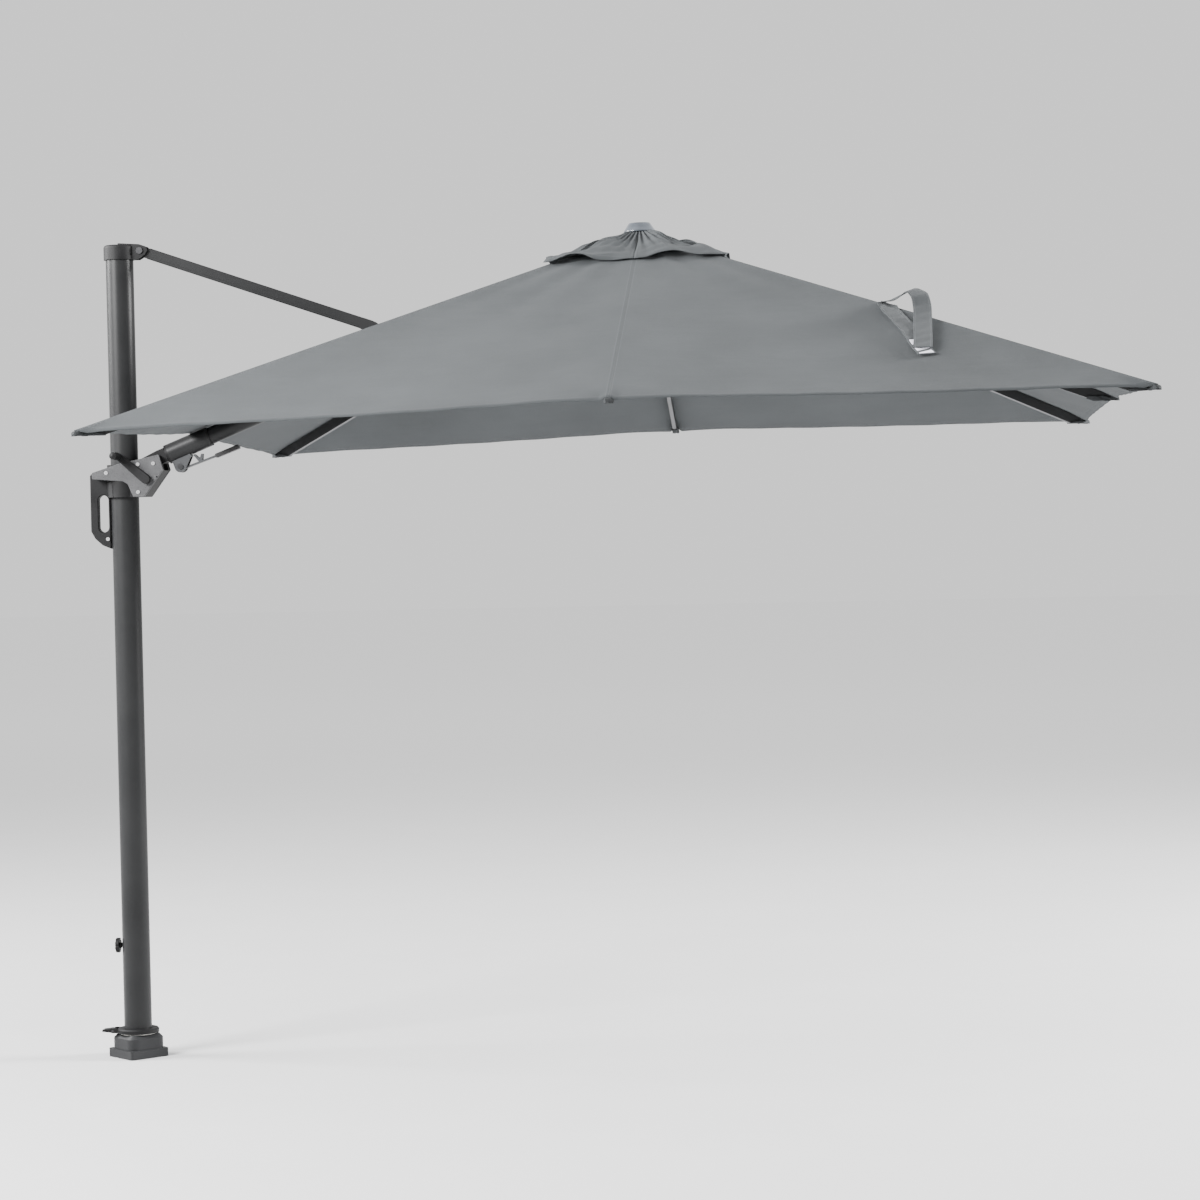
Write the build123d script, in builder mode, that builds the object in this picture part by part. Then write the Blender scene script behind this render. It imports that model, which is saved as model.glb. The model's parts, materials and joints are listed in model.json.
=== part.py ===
"""Cantilever parasol: mast on a swivel foot, tie bar, sliding carriage, tilting arm and a square canopy.

Millimetres. +Z is up, +X runs from the mast towards the canopy, the origin is the centre of the base
plate's underside. Every sub-part is written to parts/ as its own STEP file, in place.
"""

import os
from math import cos, degrees, radians, sin, sqrt, tan

from build123d import *

os.makedirs("parts", exist_ok=True)

# ---- Driving dimensions ----
RUN_FIT = 0.05  # radial clearance of every turning or sliding fit
SIDE_GAP = 0.3  # side clearance between a tongue and its fork

# Foot
PLATE_SIDE = 143.0
PLATE_T = 28.0
PLATE_CORNER_R = 8.0
TOWER_SIDE = 132.0
TOWER_CORNER_R = 30.0
SHOULDER_Z = 64.0
TOWER_TOP_Z = 76.0
SHOULDER_TAPER = 45.0
BOLT_PCD = 150.0
BOLT_R = 5.1
BOLT_DEPTH = 20.0
POST_R = 38.0
POST_BORE_R = 33.0
POST_TOP_Z = 420.0
BUSH_LOW_Z = 110.0
BUSH_HIGH_Z = 395.0
BUSH_H = 20.0
WASHER_R = 60.0
WASHER_T = 3.0

# Mast
MAST_R = 45.0
MAST_BORE_R = 42.0
RING_R = 68.0
RING_BOTTOM_Z = TOWER_TOP_Z + WASHER_T + RUN_FIT
RING_TOP_Z = 94.0
CAP_BOTTOM_Z = 2604.0
CAP_R = 51.0
CAP_TOP_Z = 2652.0
PEDAL_PIN_X = -80.0
PEDAL_PIN_Z = 86.0
PEDAL_END_X = -116.0
PEDAL_HALF_W = 20.0
KNOB_Z = 365.0
KNOB_R = 24.5
KNOB_STUD_R = 6.0
KNOB_STEM_R = 9.0
KNOB_GAP = 3.0
PEDAL_PIN_R = 4.0
PEDAL_HUB_R = 7.0
EAR_T = 6.0

# Linkage: tie pivot, carriage pivot and the pivot where the tie holds the arm form an isosceles triangle
PIVOT_X = 71.0
TIE_PIVOT_Z = 2632.0
CARRIAGE_PIVOT_Z = 1938.0
ARM_SLOPE = 21.9
TIE_BAR_SLOPE = 19.35

CAP_EAR_OUT = 21.5
CAP_SLOT_X = 52.0
CAP_PIN_R = 8.0
CAP_PIN_HEAD_R = 11.0
CAP_PIN_HEAD = 4.0
CAP_PLUG = 60.0

# Tie bar
TIE_EYE_HALF = 13.0
TIE_BORE_R = 1.5
TIE_PLUG = 55.0
TIE_BAR_START = 30.0
GROOVE_Y = 9.0
GROOVE_W = 2.0
GROOVE_DEEP = 1.6
FORK_BLOCK = 34.0
FORK_EYE_R = 14.0
TIE_SCREW_R = 5.0
TIE_THREAD_R = 4.0
TIE_SCREW_HEAD_R = 9.0
TIE_SCREW_HEAD = 3.5
THREAD_IN = 28.2
COLLAR_FLAT = 31.0
TIE_W = 25.0
TIE_H = 36.0
TIE_WALL = 2.5
TIE_EYE_R = 17.0
FORK_REACH = 133.0
FORK_IN = 31.3
FORK_OUT = 35.3

# Arm, measured along it from the carriage pivot
ARM_R = 28.0
ARM_WALL = 3.0
SLEEVE_R = 32.0
SLEEVE_START = 86.0
SLEEVE_END = 231.0
ARM_START = 92.0
ARM_END = 1632.0
COLLAR_R = 32.5
COLLAR_HALF = 30.0

KNUCKLE_EYE_R = 19.0
KNUCKLE_NECK = 66.0
KNUCKLE_H = 46.0
KNUCKLE_HALF = 30.0
KNUCKLE_PIN_R = 8.0
FLANGE_START = 78.0
STUB_END = 130.0
LEVER_S = 105.4
LEVER_T = -54.2
LEVER_EAR_R = 19.0
LEVER_FOOT_S = 14.0
LEVER_FOOT_L = 64.0
LEVER_EAR_OUT = 18.0
LEVER_HALF_W = 12.0
LEVER_PIN_R = 5.0
LEVER_HEAD_R = 9.0
LEVER_HEAD = 3.5
LEVER_EYE_R = 12.0
LEVER_BAR_T = -64.5
LEVER_BAR_H = 6.0
GRIP_START = 224.0
GRIP_END = 307.0

# Carriage on the mast
CARRIAGE_BOTTOM_Z = 1831.0
CARRIAGE_COLLAR_H = 106.0
COLLAR_OUT_R = 57.0
CARRIAGE_HALF = 50.0
CHEEK_T = 8.0
CHEEK_SCREWS = [(-48, 1911), (57.4, 1936.5), (108.4, 1938.4), (56.4, 1846.6)]
CHEEK_HOLE = (119, 1894.7)
SCREW_R = 3.0
SCREW_HEAD_R = 6.0
SCREW_HEAD = 2.5
SCREW_HEX_R = 3.0
SCREW_IN = 12.0
GRIP_SCREW = (-57, 1696)
GRIP_HALF = 15.0
GRIP_OUTLINE = [
    (-113, 1908), (-113, 1722), (-100, 1698), (-76, 1676), (-47, 1664), (-47, 1893), (-92, 1911),
]
GRIP_WINDOW_X = -70.0
GRIP_WINDOW_Z = 1778.5
GRIP_WINDOW_W = 34.0
GRIP_WINDOW_H = 121.0
CRANK_X = 84.0
CRANK_Z = 1888.3
CRANK_END_X = -5.0
CRANK_END_Z = 1963.6
CRANK_HUB_R = 15.5
CRANK_TIP_R = 11.0
CRANK_FACE = 62.0
CRANK_T = 11.0
CRANK_SHAFT_R = 6.0
CRANK_SHAFT_IN = 18.0
CRANK_AXLE_R = 5.0
CRANK_AXLE = 60.0
KNOB_START = 0.5

# Crown and canopy, in the canopy's own tilted frame
CANOPY_X = 1703.0
CROWN_Z = 2598.0
CANOPY_TILT = 1.05
HANGER_X = 80.0
CANOPY_HALF = 1500.0
APEX_Z = 47.2
RIM_MID_Z = -540.8
RIM_CORNER_Z = -568.8
FABRIC_T = 1.5
VENT_R = 200.0
HUB_R = 98.0
HUB_BOTTOM = -20.0
HUB_TOP = 12.0
SLOT_W = 11.0
TONGUE_T = 10.0
PIN_R = 3.0
RIB_W = 15.0
RIB_H = 35.0
RIB_WALL = 1.5
MID_HINGE_R = 60.0
CORNER_HINGE_R = 85.0
MID_SLOPE = 21.39
CORNER_SLOPE = 16.24
MID_ARM = 530.0
MID_LUG_ANGLE = 2.81186
CORNER_ARM = 493.544
CORNER_LUG_ANGLE = 5.5
CORNER_STRUT = 505.978
CORNER_STRUT_SLOPE = 22.26922
CORNER_RUNNER_R = 75.212
CORNER_RUNNER_UP = 60.0
CORNER_HOLE_PLAY = 0.95
LUG_T = 8.0
STRUT_W = 12.0
STRUT_FORK_W = 14.0
RUNNER_SLOT_W = 9.0

ARM_PLUG = 70.0
EAR_IN = 8.3
EAR_OUT = 16.0
HANGER_HALF = 8.0
HANGER_PIN_R = 6.0
HANGER_EYE_R = 12.0
HANGER_HEAD_R = 9.0
HANGER_HEAD = 3.0
STEM_R = 12.0
STEM_TOP = 47.0
FINIAL_LOW_R = 54.0
FINIAL_TOP_R = 34.0
FINIAL_H = 30.0
FLAP_HALF = 290.0
FLAP_TOP_HALF = 30.0
FLAP_EDGE_Z = -56.7
FLAP_SLOPE = 0.392
FLAP_T = 2.0
SLOT_INNER_R = 30.0
TUBE_START_MID = 52.0
TUBE_START_CORNER = 34.0
RIB_PLUG = 25.0
RIB_TIP_PLUG = 105.0
RIB_TIP_DEPTH = 14.0
TONGUE_R = 9.0
RIB_CAP_R = 11.0
MID_TIP_R = 1489.0
CORNER_TIP_R = 2110.0
LUG_EYE_R = 7.0
LUG_FOOT = 16.0
STRUT_H = 12.0
STRUT_FORK_LEN = 30.0
STRUT_FORK_DEPTH = 21.0
FORK_LUG_GAP = 0.2
STRUT_TONGUE = 26.0
STRUT_EYE_R = 6.0
RUNNER_R = 70.0
RUNNER_TOP_R = 86.0
RUNNER_DISC = 24.0
RUNNER_STEM_R = 24.0
RUNNER_SLOT_R = 46.0
RUNNER_CLEAR_W = 17.0
SEAM_GAP = 0.35
LEFT_MID_RAISE = 6.0
TIE_SLOT_X = -780.0
TIE_SLOT_L = 118.0
TIE_SLOT_W = 124.0
STRAP_X = 775.0
STRAP_Y = -712.0
STRAP_RUN_X = 100.0
STRAP_RUN_Y = -400.0
STRAP_L = 425.0
STRAP_HALF_W = 27.0
STRAP_T = 2.5
STRAP_LOOP_R = 27.0
STRAP_GAP = 1.5

# Edge breaks and small features
RING_BEVEL = 4.0
PEDAL_END_HALF = 3.0
PEDAL_CLEAR = 1.0
KNOB_NECK = 6.0
KNOB_HEAD_T = 12.0
KNOB_FLUTES = 8
KNOB_FLUTE_R = 5.0
KNOB_FLUTE_OUT = 1.5
KNOB_BEVEL = 1.5
KNOB_STUD_SHORT = 2.0
CAP_TOP_R = 9.0
CAP_SLOT_END_X = 110.0
CAP_SLOT_H = 80.0
FORK_BLOCK_LAP = 6.0
TIE_CORNER_R = 4.0
LEVER_FOOT_T = 8.0
LEVER_SLOT_L = 160.0
LEVER_SLOT_H = 74.0
LEVER_SLOT_DROP = 20.0
LEVER_HEEL = 16.0
LEVER_TANG_END = 8.0
LEVER_TANG_DROP = 2.0
GRIP_OVER = 4.0
GRIP_OVER_END = 3.0
GRIP_UNDER_END = 6.0
GRIP_SIDE = 3.0
GRIP_EDGE_R = 3.0
CHEEK_CORNER_R = 4.0
CHEEK_BEVEL = 1.5
CHEEK_HOLE_R = 2.5
HANDLE_CORNER_R = 8.0
HANDLE_BEVEL = 2.5
CRANK_BEVEL = 2.0
CRANK_SHAFT_SHORT = 1.0
CRANK_AXLE_END_GAP = 0.5
ARM_END_SHOULDER = 8.0
ARM_END_TAPER = 20.0
ARM_END_FOOT_S = 6.0
ARM_END_FOOT_L = 10.0
ARM_END_FOOT_H = 34.0
HANGER_CLEAR = 8.0
HANGER_FOOT_L = 66.0
HANGER_FOOT_T = 2.0
FINIAL_EDGE_R = 3.0
SLOT_OVERRUN = 2.0
PIN_SINK = 2.0
RIB_CORNER_R = 2.5
RIB_BORE_R = 1.0
TONGUE_FOOT = 6.0
TONGUE_FOOT_IN = 4.0
LUG_FOOT_T = 2.0
RIB_CAP_OVER = 3.0
RIB_CAP_DEEPER = 1.0
RIB_CAP_CORNER_R = 4.0
STRUT_CORNER_R = 2.0
STRUT_SLOT_BACK = 10.0

# Outlines in the upright middle plane, as (x, z)
CAP_EAR_OUTLINE = [(0, 2604), (64, 2604), (88, 2618), (97, 2632), (92, 2645), (70, 2653), (0, 2658)]
KNUCKLE_WINDOW = [(50, 1916), (150, 1916), (150, 2000), (50, 2000)]
GRIP_LUG_OUTLINE = [(-92, 1893), (-92, 1911), (-30, 1928), (-30, 1893)]
BODY_OUTLINE = [(0, 1831), (77, 1831), (139, 1918), (126, 1965), (0, 1940), (-30, 1932), (-30, 1831)]
CHEEK_OUTLINE = [
    (-95, 1891), (-96, 1912), (-8, 1939), (127, 1967), (141, 1918), (77, 1831), (40, 1831), (22, 1873),
    (7, 1882),
]

# Lever link outline: distances along the arm from the lever's pivot, and across it
LINK_RISE = [(62, -65.5), (52, -35), (58, -35), (68, -54.5), (78, -42), (83, -44), (72, -65.5)]

# Crank knob's side: radius and distance from the crank arm's inner face
KNOB_SIDE = [(9, 0), (12.5, 29.5), (10.5, 51.5), (11.5, 68)]
KNOB_LENGTH = 72.0

# Azimuth of each rib about the canopy axis. The arm stands in for the eighth, on the mast side.
MID_RIBS = {"mid_near": -90.0, "mid_right": 0.0, "mid_far": 90.0}
ARM_SIDE = 180.0
CORNER_RIBS = {"near_left": -135.0, "near_right": -45.0, "far_right": 45.0, "far_left": 135.0}


# ---- Frames ----
def tilted(x, y, z):
    """A vector of the canopy's frame, in the world's."""
    t = radians(CANOPY_TILT)
    return Vector(x * cos(t) - z * sin(t), y, x * sin(t) + z * cos(t))


def canopy_point(x, y, z):
    """A point of the canopy's frame, in the world's."""
    return Vector(CANOPY_X, 0, CROWN_Z) + tilted(x, y, z)


def radial_point(azimuth, r, z):
    """A canopy point given by its azimuth, radius and height."""
    return canopy_point(r * cos(radians(azimuth)), r * sin(radians(azimuth)), z)


def radial_plane(azimuth, r, z, slope):
    """The plane of a rib's swing, X axis falling outwards at the slope, Y axis up."""
    a = radians(azimuth)
    s = radians(slope)
    along = tilted(cos(s) * cos(a), cos(s) * sin(a), -sin(s))
    across = tilted(sin(a), -cos(a), 0)
    return Plane(origin=radial_point(azimuth, r, z), x_dir=along, z_dir=across)


def section_plane(swing, distance):
    """The plane across a bar that lies along a swing plane's X axis."""
    return Plane(origin=swing.origin + swing.x_dir * distance, x_dir=swing.z_dir, z_dir=swing.x_dir)


CANOPY_PLANE = Plane(origin=canopy_point(0, 0, 0), x_dir=tilted(1, 0, 0), z_dir=tilted(0, 0, 1))


def canopy_level(z):
    """A plane square to the canopy's axis."""
    return Plane(origin=canopy_point(0, 0, z), x_dir=CANOPY_PLANE.x_dir, z_dir=CANOPY_PLANE.z_dir)


def side_plane(x, z, slope=0.0):
    """An upright plane along the parasol's middle, X axis rising at the slope."""
    s = radians(slope)
    return Plane(origin=(x, 0, z), x_dir=(cos(s), 0, sin(s)), z_dir=(0, -1, 0))


LINK = (TIE_PIVOT_Z - CARRIAGE_PIVOT_Z) / 2 / sin(radians(ARM_SLOPE))
HOLD_X = PIVOT_X + LINK * cos(radians(ARM_SLOPE))
HOLD_Z = (TIE_PIVOT_Z + CARRIAGE_PIVOT_Z) / 2
ARM_PLANE = side_plane(PIVOT_X, CARRIAGE_PIVOT_Z, ARM_SLOPE)
TIE_PLANE = side_plane(PIVOT_X, TIE_PIVOT_Z, -TIE_BAR_SLOPE)

# ---- Foot ----
with BuildPart() as base_socket:
    with BuildSketch(Plane.XY):
        RectangleRounded(PLATE_SIDE, PLATE_SIDE, PLATE_CORNER_R, rotation=45)
    extrude(amount=PLATE_T)
    with BuildSketch(Plane.XY.offset(PLATE_T)):
        RectangleRounded(TOWER_SIDE, TOWER_SIDE, TOWER_CORNER_R, rotation=45)
    extrude(amount=SHOULDER_Z - PLATE_T)
    with BuildSketch(Plane.XY.offset(SHOULDER_Z)):
        RectangleRounded(TOWER_SIDE, TOWER_SIDE, TOWER_CORNER_R, rotation=45)
    extrude(amount=TOWER_TOP_Z - SHOULDER_Z, taper=SHOULDER_TAPER)
    with BuildSketch(Plane.XY.offset(TOWER_TOP_Z)):
        Circle(POST_R)
    extrude(amount=-(TOWER_TOP_Z - PLATE_T), mode=Mode.SUBTRACT)
    with BuildSketch(Plane.XY):
        with PolarLocations(BOLT_PCD / 2, 4):
            Circle(BOLT_R)
    extrude(amount=BOLT_DEPTH, mode=Mode.SUBTRACT)
base_socket.part.label = "base_socket"
export_step(base_socket.part, "parts/base_socket.step")

with BuildPart() as base_post:
    with BuildSketch(Plane.XY.offset(PLATE_T)):
        Circle(POST_R)
    extrude(amount=POST_TOP_Z - PLATE_T)
    for bush_z in (BUSH_LOW_Z, BUSH_HIGH_Z):
        with BuildSketch(Plane.XY.offset(bush_z)):
            Circle(MAST_BORE_R - RUN_FIT)
        extrude(amount=BUSH_H)
    with BuildSketch(Plane.XY.offset(PLATE_T)):
        Circle(POST_BORE_R)
    extrude(amount=POST_TOP_Z - PLATE_T, mode=Mode.SUBTRACT)
base_post.part.label = "base_post"
export_step(base_post.part, "parts/base_post.step")

with BuildPart() as thrust_washer:
    with BuildSketch(Plane.XY.offset(TOWER_TOP_Z)):
        Circle(WASHER_R)
        Circle(POST_R, mode=Mode.SUBTRACT)
    extrude(amount=WASHER_T)
thrust_washer.part.label = "thrust_washer"
export_step(thrust_washer.part, "parts/thrust_washer.step")

# ---- Mast ----
with BuildPart() as mast_tube:
    with BuildSketch(Plane.XY.offset(RING_BOTTOM_Z)):
        Circle(MAST_R)
        Circle(MAST_BORE_R, mode=Mode.SUBTRACT)
    extrude(amount=CAP_BOTTOM_Z - RING_BOTTOM_Z)
    with BuildSketch(Plane.YZ.offset(-MAST_R)):
        with Locations((0, KNOB_Z)):
            Circle(KNOB_STUD_R + RUN_FIT)
    extrude(amount=MAST_R - POST_R, mode=Mode.SUBTRACT)
mast_tube.part.label = "mast_tube"
export_step(mast_tube.part, "parts/mast_tube.step")

with BuildPart() as swivel_ring:
    with BuildSketch(Plane.XY.offset(RING_BOTTOM_Z)):
        Circle(RING_R)
    extrude(amount=RING_TOP_Z - RING_BOTTOM_Z)
    chamfer(swivel_ring.edges().group_by(Axis.Z)[-1], length=RING_BEVEL)
    for ear_y in (-PEDAL_HALF_W - SIDE_GAP - EAR_T, PEDAL_HALF_W + SIDE_GAP):
        with BuildSketch(Plane.XZ.offset(-ear_y - EAR_T)):
            with Locations((PEDAL_PIN_X, PEDAL_PIN_Z)):
                Circle(PEDAL_HUB_R)
            with Locations((PEDAL_PIN_X / 2 - MAST_R / 2, PEDAL_PIN_Z)):
                Rectangle(-PEDAL_PIN_X - MAST_R, 2 * PEDAL_HUB_R)
        extrude(amount=EAR_T)
    with BuildSketch(Plane.XZ):
        with Locations((PEDAL_PIN_X, PEDAL_PIN_Z)):
            Circle(PEDAL_PIN_R)
    extrude(amount=PEDAL_HALF_W + 2 * EAR_T, both=True, mode=Mode.SUBTRACT)
    with BuildSketch(Plane.XZ):
        with Locations((PEDAL_PIN_X, PEDAL_PIN_Z)):
            Circle(PEDAL_HUB_R + PEDAL_CLEAR)
    extrude(amount=PEDAL_HALF_W + SIDE_GAP, both=True, mode=Mode.SUBTRACT)
    with BuildSketch(Plane.XY.offset(RING_BOTTOM_Z)):
        Circle(MAST_R)
    extrude(amount=RING_TOP_Z - RING_BOTTOM_Z, mode=Mode.SUBTRACT)
swivel_ring.part.label = "swivel_ring"
export_step(swivel_ring.part, "parts/swivel_ring.step")

with BuildPart() as pedal_pin:
    with BuildSketch(Plane.XZ):
        with Locations((PEDAL_PIN_X, PEDAL_PIN_Z)):
            Circle(PEDAL_PIN_R)
    extrude(amount=PEDAL_HALF_W + SIDE_GAP + EAR_T, both=True)
pedal_pin.part.label = "pedal_pin"
export_step(pedal_pin.part, "parts/pedal_pin.step")

with BuildPart() as foot_pedal:
    with BuildSketch(Plane.XZ):
        with Locations((PEDAL_PIN_X, PEDAL_PIN_Z)):
            Circle(PEDAL_HUB_R)
        with BuildLine():
            Polyline(
                (PEDAL_PIN_X, PEDAL_PIN_Z + PEDAL_HUB_R),
                (PEDAL_END_X, PEDAL_PIN_Z + PEDAL_END_HALF),
                (PEDAL_END_X, PEDAL_PIN_Z - PEDAL_END_HALF),
                (PEDAL_PIN_X, PEDAL_PIN_Z - PEDAL_HUB_R),
                close=True,
            )
        make_face()
        with Locations((PEDAL_PIN_X, PEDAL_PIN_Z)):
            Circle(PEDAL_PIN_R + RUN_FIT, mode=Mode.SUBTRACT)
    extrude(amount=PEDAL_HALF_W, both=True)
foot_pedal.part.label = "foot_pedal"
export_step(foot_pedal.part, "parts/foot_pedal.step")

with BuildPart() as clamp_knob:
    with BuildSketch(Plane.YZ.offset(-MAST_R - KNOB_GAP)):
        with Locations((0, KNOB_Z)):
            Circle(KNOB_STEM_R)
    extrude(amount=-KNOB_NECK)
    with BuildSketch(Plane.YZ.offset(-MAST_R - KNOB_GAP - KNOB_NECK)):
        with Locations((0, KNOB_Z)):
            Circle(KNOB_R)
            with PolarLocations(KNOB_R + KNOB_FLUTE_OUT, KNOB_FLUTES):
                Circle(KNOB_FLUTE_R, mode=Mode.SUBTRACT)
    extrude(amount=-KNOB_HEAD_T)
    chamfer(clamp_knob.edges().group_by(Axis.X)[0], length=KNOB_BEVEL)
    with BuildSketch(Plane.YZ.offset(-MAST_R - KNOB_GAP)):
        with Locations((0, KNOB_Z)):
            Circle(KNOB_STUD_R)
    extrude(amount=KNOB_GAP + MAST_R - POST_R - KNOB_STUD_SHORT)
clamp_knob.part.label = "clamp_knob"
export_step(clamp_knob.part, "parts/clamp_knob.step")

with BuildPart() as mast_cap:
    with BuildSketch(Plane.XY.offset(CAP_BOTTOM_Z)):
        Circle(CAP_R)
    extrude(amount=CAP_TOP_Z - CAP_BOTTOM_Z)
    fillet(mast_cap.edges().group_by(Axis.Z)[-1], radius=CAP_TOP_R)
    with BuildSketch(Plane.XZ):
        with BuildLine():
            Polyline(*CAP_EAR_OUTLINE, close=True)
        make_face()
    extrude(amount=CAP_EAR_OUT, both=True)
    with BuildSketch(Plane.XZ):
        with Locations(((CAP_SLOT_X + CAP_SLOT_END_X) / 2, TIE_PIVOT_Z)):
            Rectangle(CAP_SLOT_END_X - CAP_SLOT_X, CAP_SLOT_H)
    extrude(amount=TIE_EYE_HALF + SIDE_GAP, both=True, mode=Mode.SUBTRACT)
    with BuildSketch(Plane.XZ):
        with Locations((PIVOT_X, TIE_PIVOT_Z)):
            Circle(CAP_PIN_R)
    extrude(amount=CAP_EAR_OUT, both=True, mode=Mode.SUBTRACT)
    with BuildSketch(Plane.XY.offset(CAP_BOTTOM_Z)):
        Circle(MAST_BORE_R)
    extrude(amount=-CAP_PLUG)
mast_cap.part.label = "mast_cap"
export_step(mast_cap.part, "parts/mast_cap.step")

with BuildPart() as cap_pin:
    with BuildSketch(Plane.XZ):
        with Locations((PIVOT_X, TIE_PIVOT_Z)):
            Circle(CAP_PIN_R)
    extrude(amount=CAP_EAR_OUT, both=True)
    for head_y in (-CAP_EAR_OUT - CAP_PIN_HEAD, CAP_EAR_OUT):
        with BuildSketch(Plane.XZ.offset(-head_y - CAP_PIN_HEAD)):
            with Locations((PIVOT_X, TIE_PIVOT_Z)):
                Circle(CAP_PIN_HEAD_R)
        extrude(amount=CAP_PIN_HEAD)
cap_pin.part.label = "cap_pin"
export_step(cap_pin.part, "parts/cap_pin.step")

# ---- Tie bar ----
HOLD_ON_TIE = TIE_PLANE.to_local_coords(Vector(HOLD_X, 0, HOLD_Z))
FORK_BLOCK_END = HOLD_ON_TIE.X - FORK_REACH + FORK_BLOCK_LAP
TIE_BAR_END = FORK_BLOCK_END - FORK_BLOCK


def tie_section(distance):
    """A plane across the tie bar."""
    return Plane(origin=TIE_PLANE.from_local_coords((distance, 0, 0)),
                 x_dir=TIE_PLANE.z_dir, z_dir=TIE_PLANE.x_dir)


with BuildPart() as tie_bar:
    with BuildSketch(tie_section(TIE_BAR_START)):
        RectangleRounded(TIE_W, TIE_H, TIE_CORNER_R)
        RectangleRounded(TIE_W - 2 * TIE_WALL, TIE_H - 2 * TIE_WALL, TIE_BORE_R, mode=Mode.SUBTRACT)
        with Locations((-TIE_W / 2, GROOVE_Y), (TIE_W / 2, GROOVE_Y)):
            Rectangle(GROOVE_DEEP, GROOVE_W, mode=Mode.SUBTRACT)
    extrude(amount=TIE_BAR_END - TIE_BAR_START)
tie_bar.part.label = "tie_bar"
export_step(tie_bar.part, "parts/tie_bar.step")

with BuildPart() as tie_eye:
    with BuildSketch(TIE_PLANE):
        Circle(TIE_EYE_R)
        with Locations((TIE_BAR_START / 2, 0)):
            Rectangle(TIE_BAR_START, 2 * TIE_EYE_R)
        Circle(CAP_PIN_R + RUN_FIT, mode=Mode.SUBTRACT)
    extrude(amount=TIE_EYE_HALF, both=True)
    with BuildSketch(tie_section(TIE_BAR_START)):
        RectangleRounded(TIE_W - 2 * TIE_WALL, TIE_H - 2 * TIE_WALL, TIE_BORE_R)
    extrude(amount=TIE_PLUG)
tie_eye.part.label = "tie_eye"
export_step(tie_eye.part, "parts/tie_eye.step")

with BuildPart() as tie_fork:
    with BuildSketch(TIE_PLANE):
        with Locations((HOLD_ON_TIE.X, HOLD_ON_TIE.Y)):
            Circle(FORK_EYE_R)
        with Locations((TIE_BAR_END + FORK_BLOCK / 2, 0)):
            Rectangle(FORK_BLOCK, TIE_H)
        make_hull()
    extrude(amount=FORK_OUT, both=True)
    with BuildSketch(TIE_PLANE):
        with Locations((HOLD_ON_TIE.X, HOLD_ON_TIE.Y)):
            Circle(FORK_REACH)
    extrude(amount=FORK_IN, both=True, mode=Mode.SUBTRACT)
    with BuildSketch(TIE_PLANE):
        with Locations((HOLD_ON_TIE.X, HOLD_ON_TIE.Y)):
            Circle(TIE_SCREW_R + RUN_FIT)
    extrude(amount=FORK_OUT, both=True, mode=Mode.SUBTRACT)
    with BuildSketch(tie_section(TIE_BAR_END)):
        RectangleRounded(TIE_W - 2 * TIE_WALL, TIE_H - 2 * TIE_WALL, TIE_BORE_R)
    extrude(amount=-TIE_PLUG)
tie_fork.part.label = "tie_fork"
export_step(tie_fork.part, "parts/tie_fork.step")


# ---- Arm, its sleeve and what holds it ----
def arm_section(distance):
    """A plane across the arm."""
    return Plane(origin=ARM_PLANE.from_local_coords((distance, 0, 0)),
                 x_dir=ARM_PLANE.z_dir, z_dir=ARM_PLANE.x_dir)


with BuildPart() as tie_collar:
    with BuildSketch(arm_section(LINK - COLLAR_HALF)):
        Circle(COLLAR_R)
    extrude(amount=2 * COLLAR_HALF)
    with BuildSketch(ARM_PLANE):
        with Locations((LINK, 0)):
            Rectangle(4 * COLLAR_HALF, 4 * COLLAR_R)
    extrude(amount=COLLAR_FLAT, both=True, mode=Mode.INTERSECT)
    with BuildSketch(arm_section(LINK - COLLAR_HALF)):
        Circle(ARM_R + RUN_FIT)
    extrude(amount=2 * COLLAR_HALF, mode=Mode.SUBTRACT)
    with BuildSketch(ARM_PLANE):
        with Locations((LINK, 0)):
            Circle(TIE_THREAD_R)
    extrude(amount=COLLAR_R, both=True, mode=Mode.SUBTRACT)
tie_collar.part.label = "tie_collar"
export_step(tie_collar.part, "parts/tie_collar.step")

with BuildPart() as tie_screws:
    for way in (1, -1):
        with BuildSketch(ARM_PLANE.offset(way * THREAD_IN)):
            with Locations((LINK, 0)):
                Circle(TIE_THREAD_R)
        extrude(amount=way * (COLLAR_FLAT - THREAD_IN))
        with BuildSketch(ARM_PLANE.offset(way * COLLAR_FLAT)):
            with Locations((LINK, 0)):
                Circle(TIE_SCREW_R)
        extrude(amount=way * (FORK_OUT + SIDE_GAP - COLLAR_FLAT))
        with BuildSketch(ARM_PLANE.offset(way * (FORK_OUT + SIDE_GAP))):
            with Locations((LINK, 0)):
                Circle(TIE_SCREW_HEAD_R)
        extrude(amount=way * TIE_SCREW_HEAD)
tie_screws.part.label = "tie_screws"
export_step(tie_screws.part, "parts/tie_screws.step")

with BuildPart() as arm_knuckle:
    with BuildSketch(ARM_PLANE):
        Circle(KNUCKLE_EYE_R)
        with Locations((KNUCKLE_NECK, 0)):
            Rectangle(2 * (FLANGE_START - KNUCKLE_NECK), KNUCKLE_H)
        make_hull()
    extrude(amount=KNUCKLE_HALF, both=True)
    with BuildSketch(arm_section(FLANGE_START)):
        Circle(SLEEVE_R)
    extrude(amount=SLEEVE_START - FLANGE_START)
    with BuildSketch(arm_section(SLEEVE_START)):
        Circle(ARM_R - ARM_WALL - RUN_FIT)
    extrude(amount=STUB_END - SLEEVE_START)
    with BuildSketch(ARM_PLANE):
        Circle(KNUCKLE_PIN_R + RUN_FIT)
    extrude(amount=KNUCKLE_HALF, both=True, mode=Mode.SUBTRACT)
arm_knuckle.part.label = "arm_knuckle"
export_step(arm_knuckle.part, "parts/arm_knuckle.step")

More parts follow.
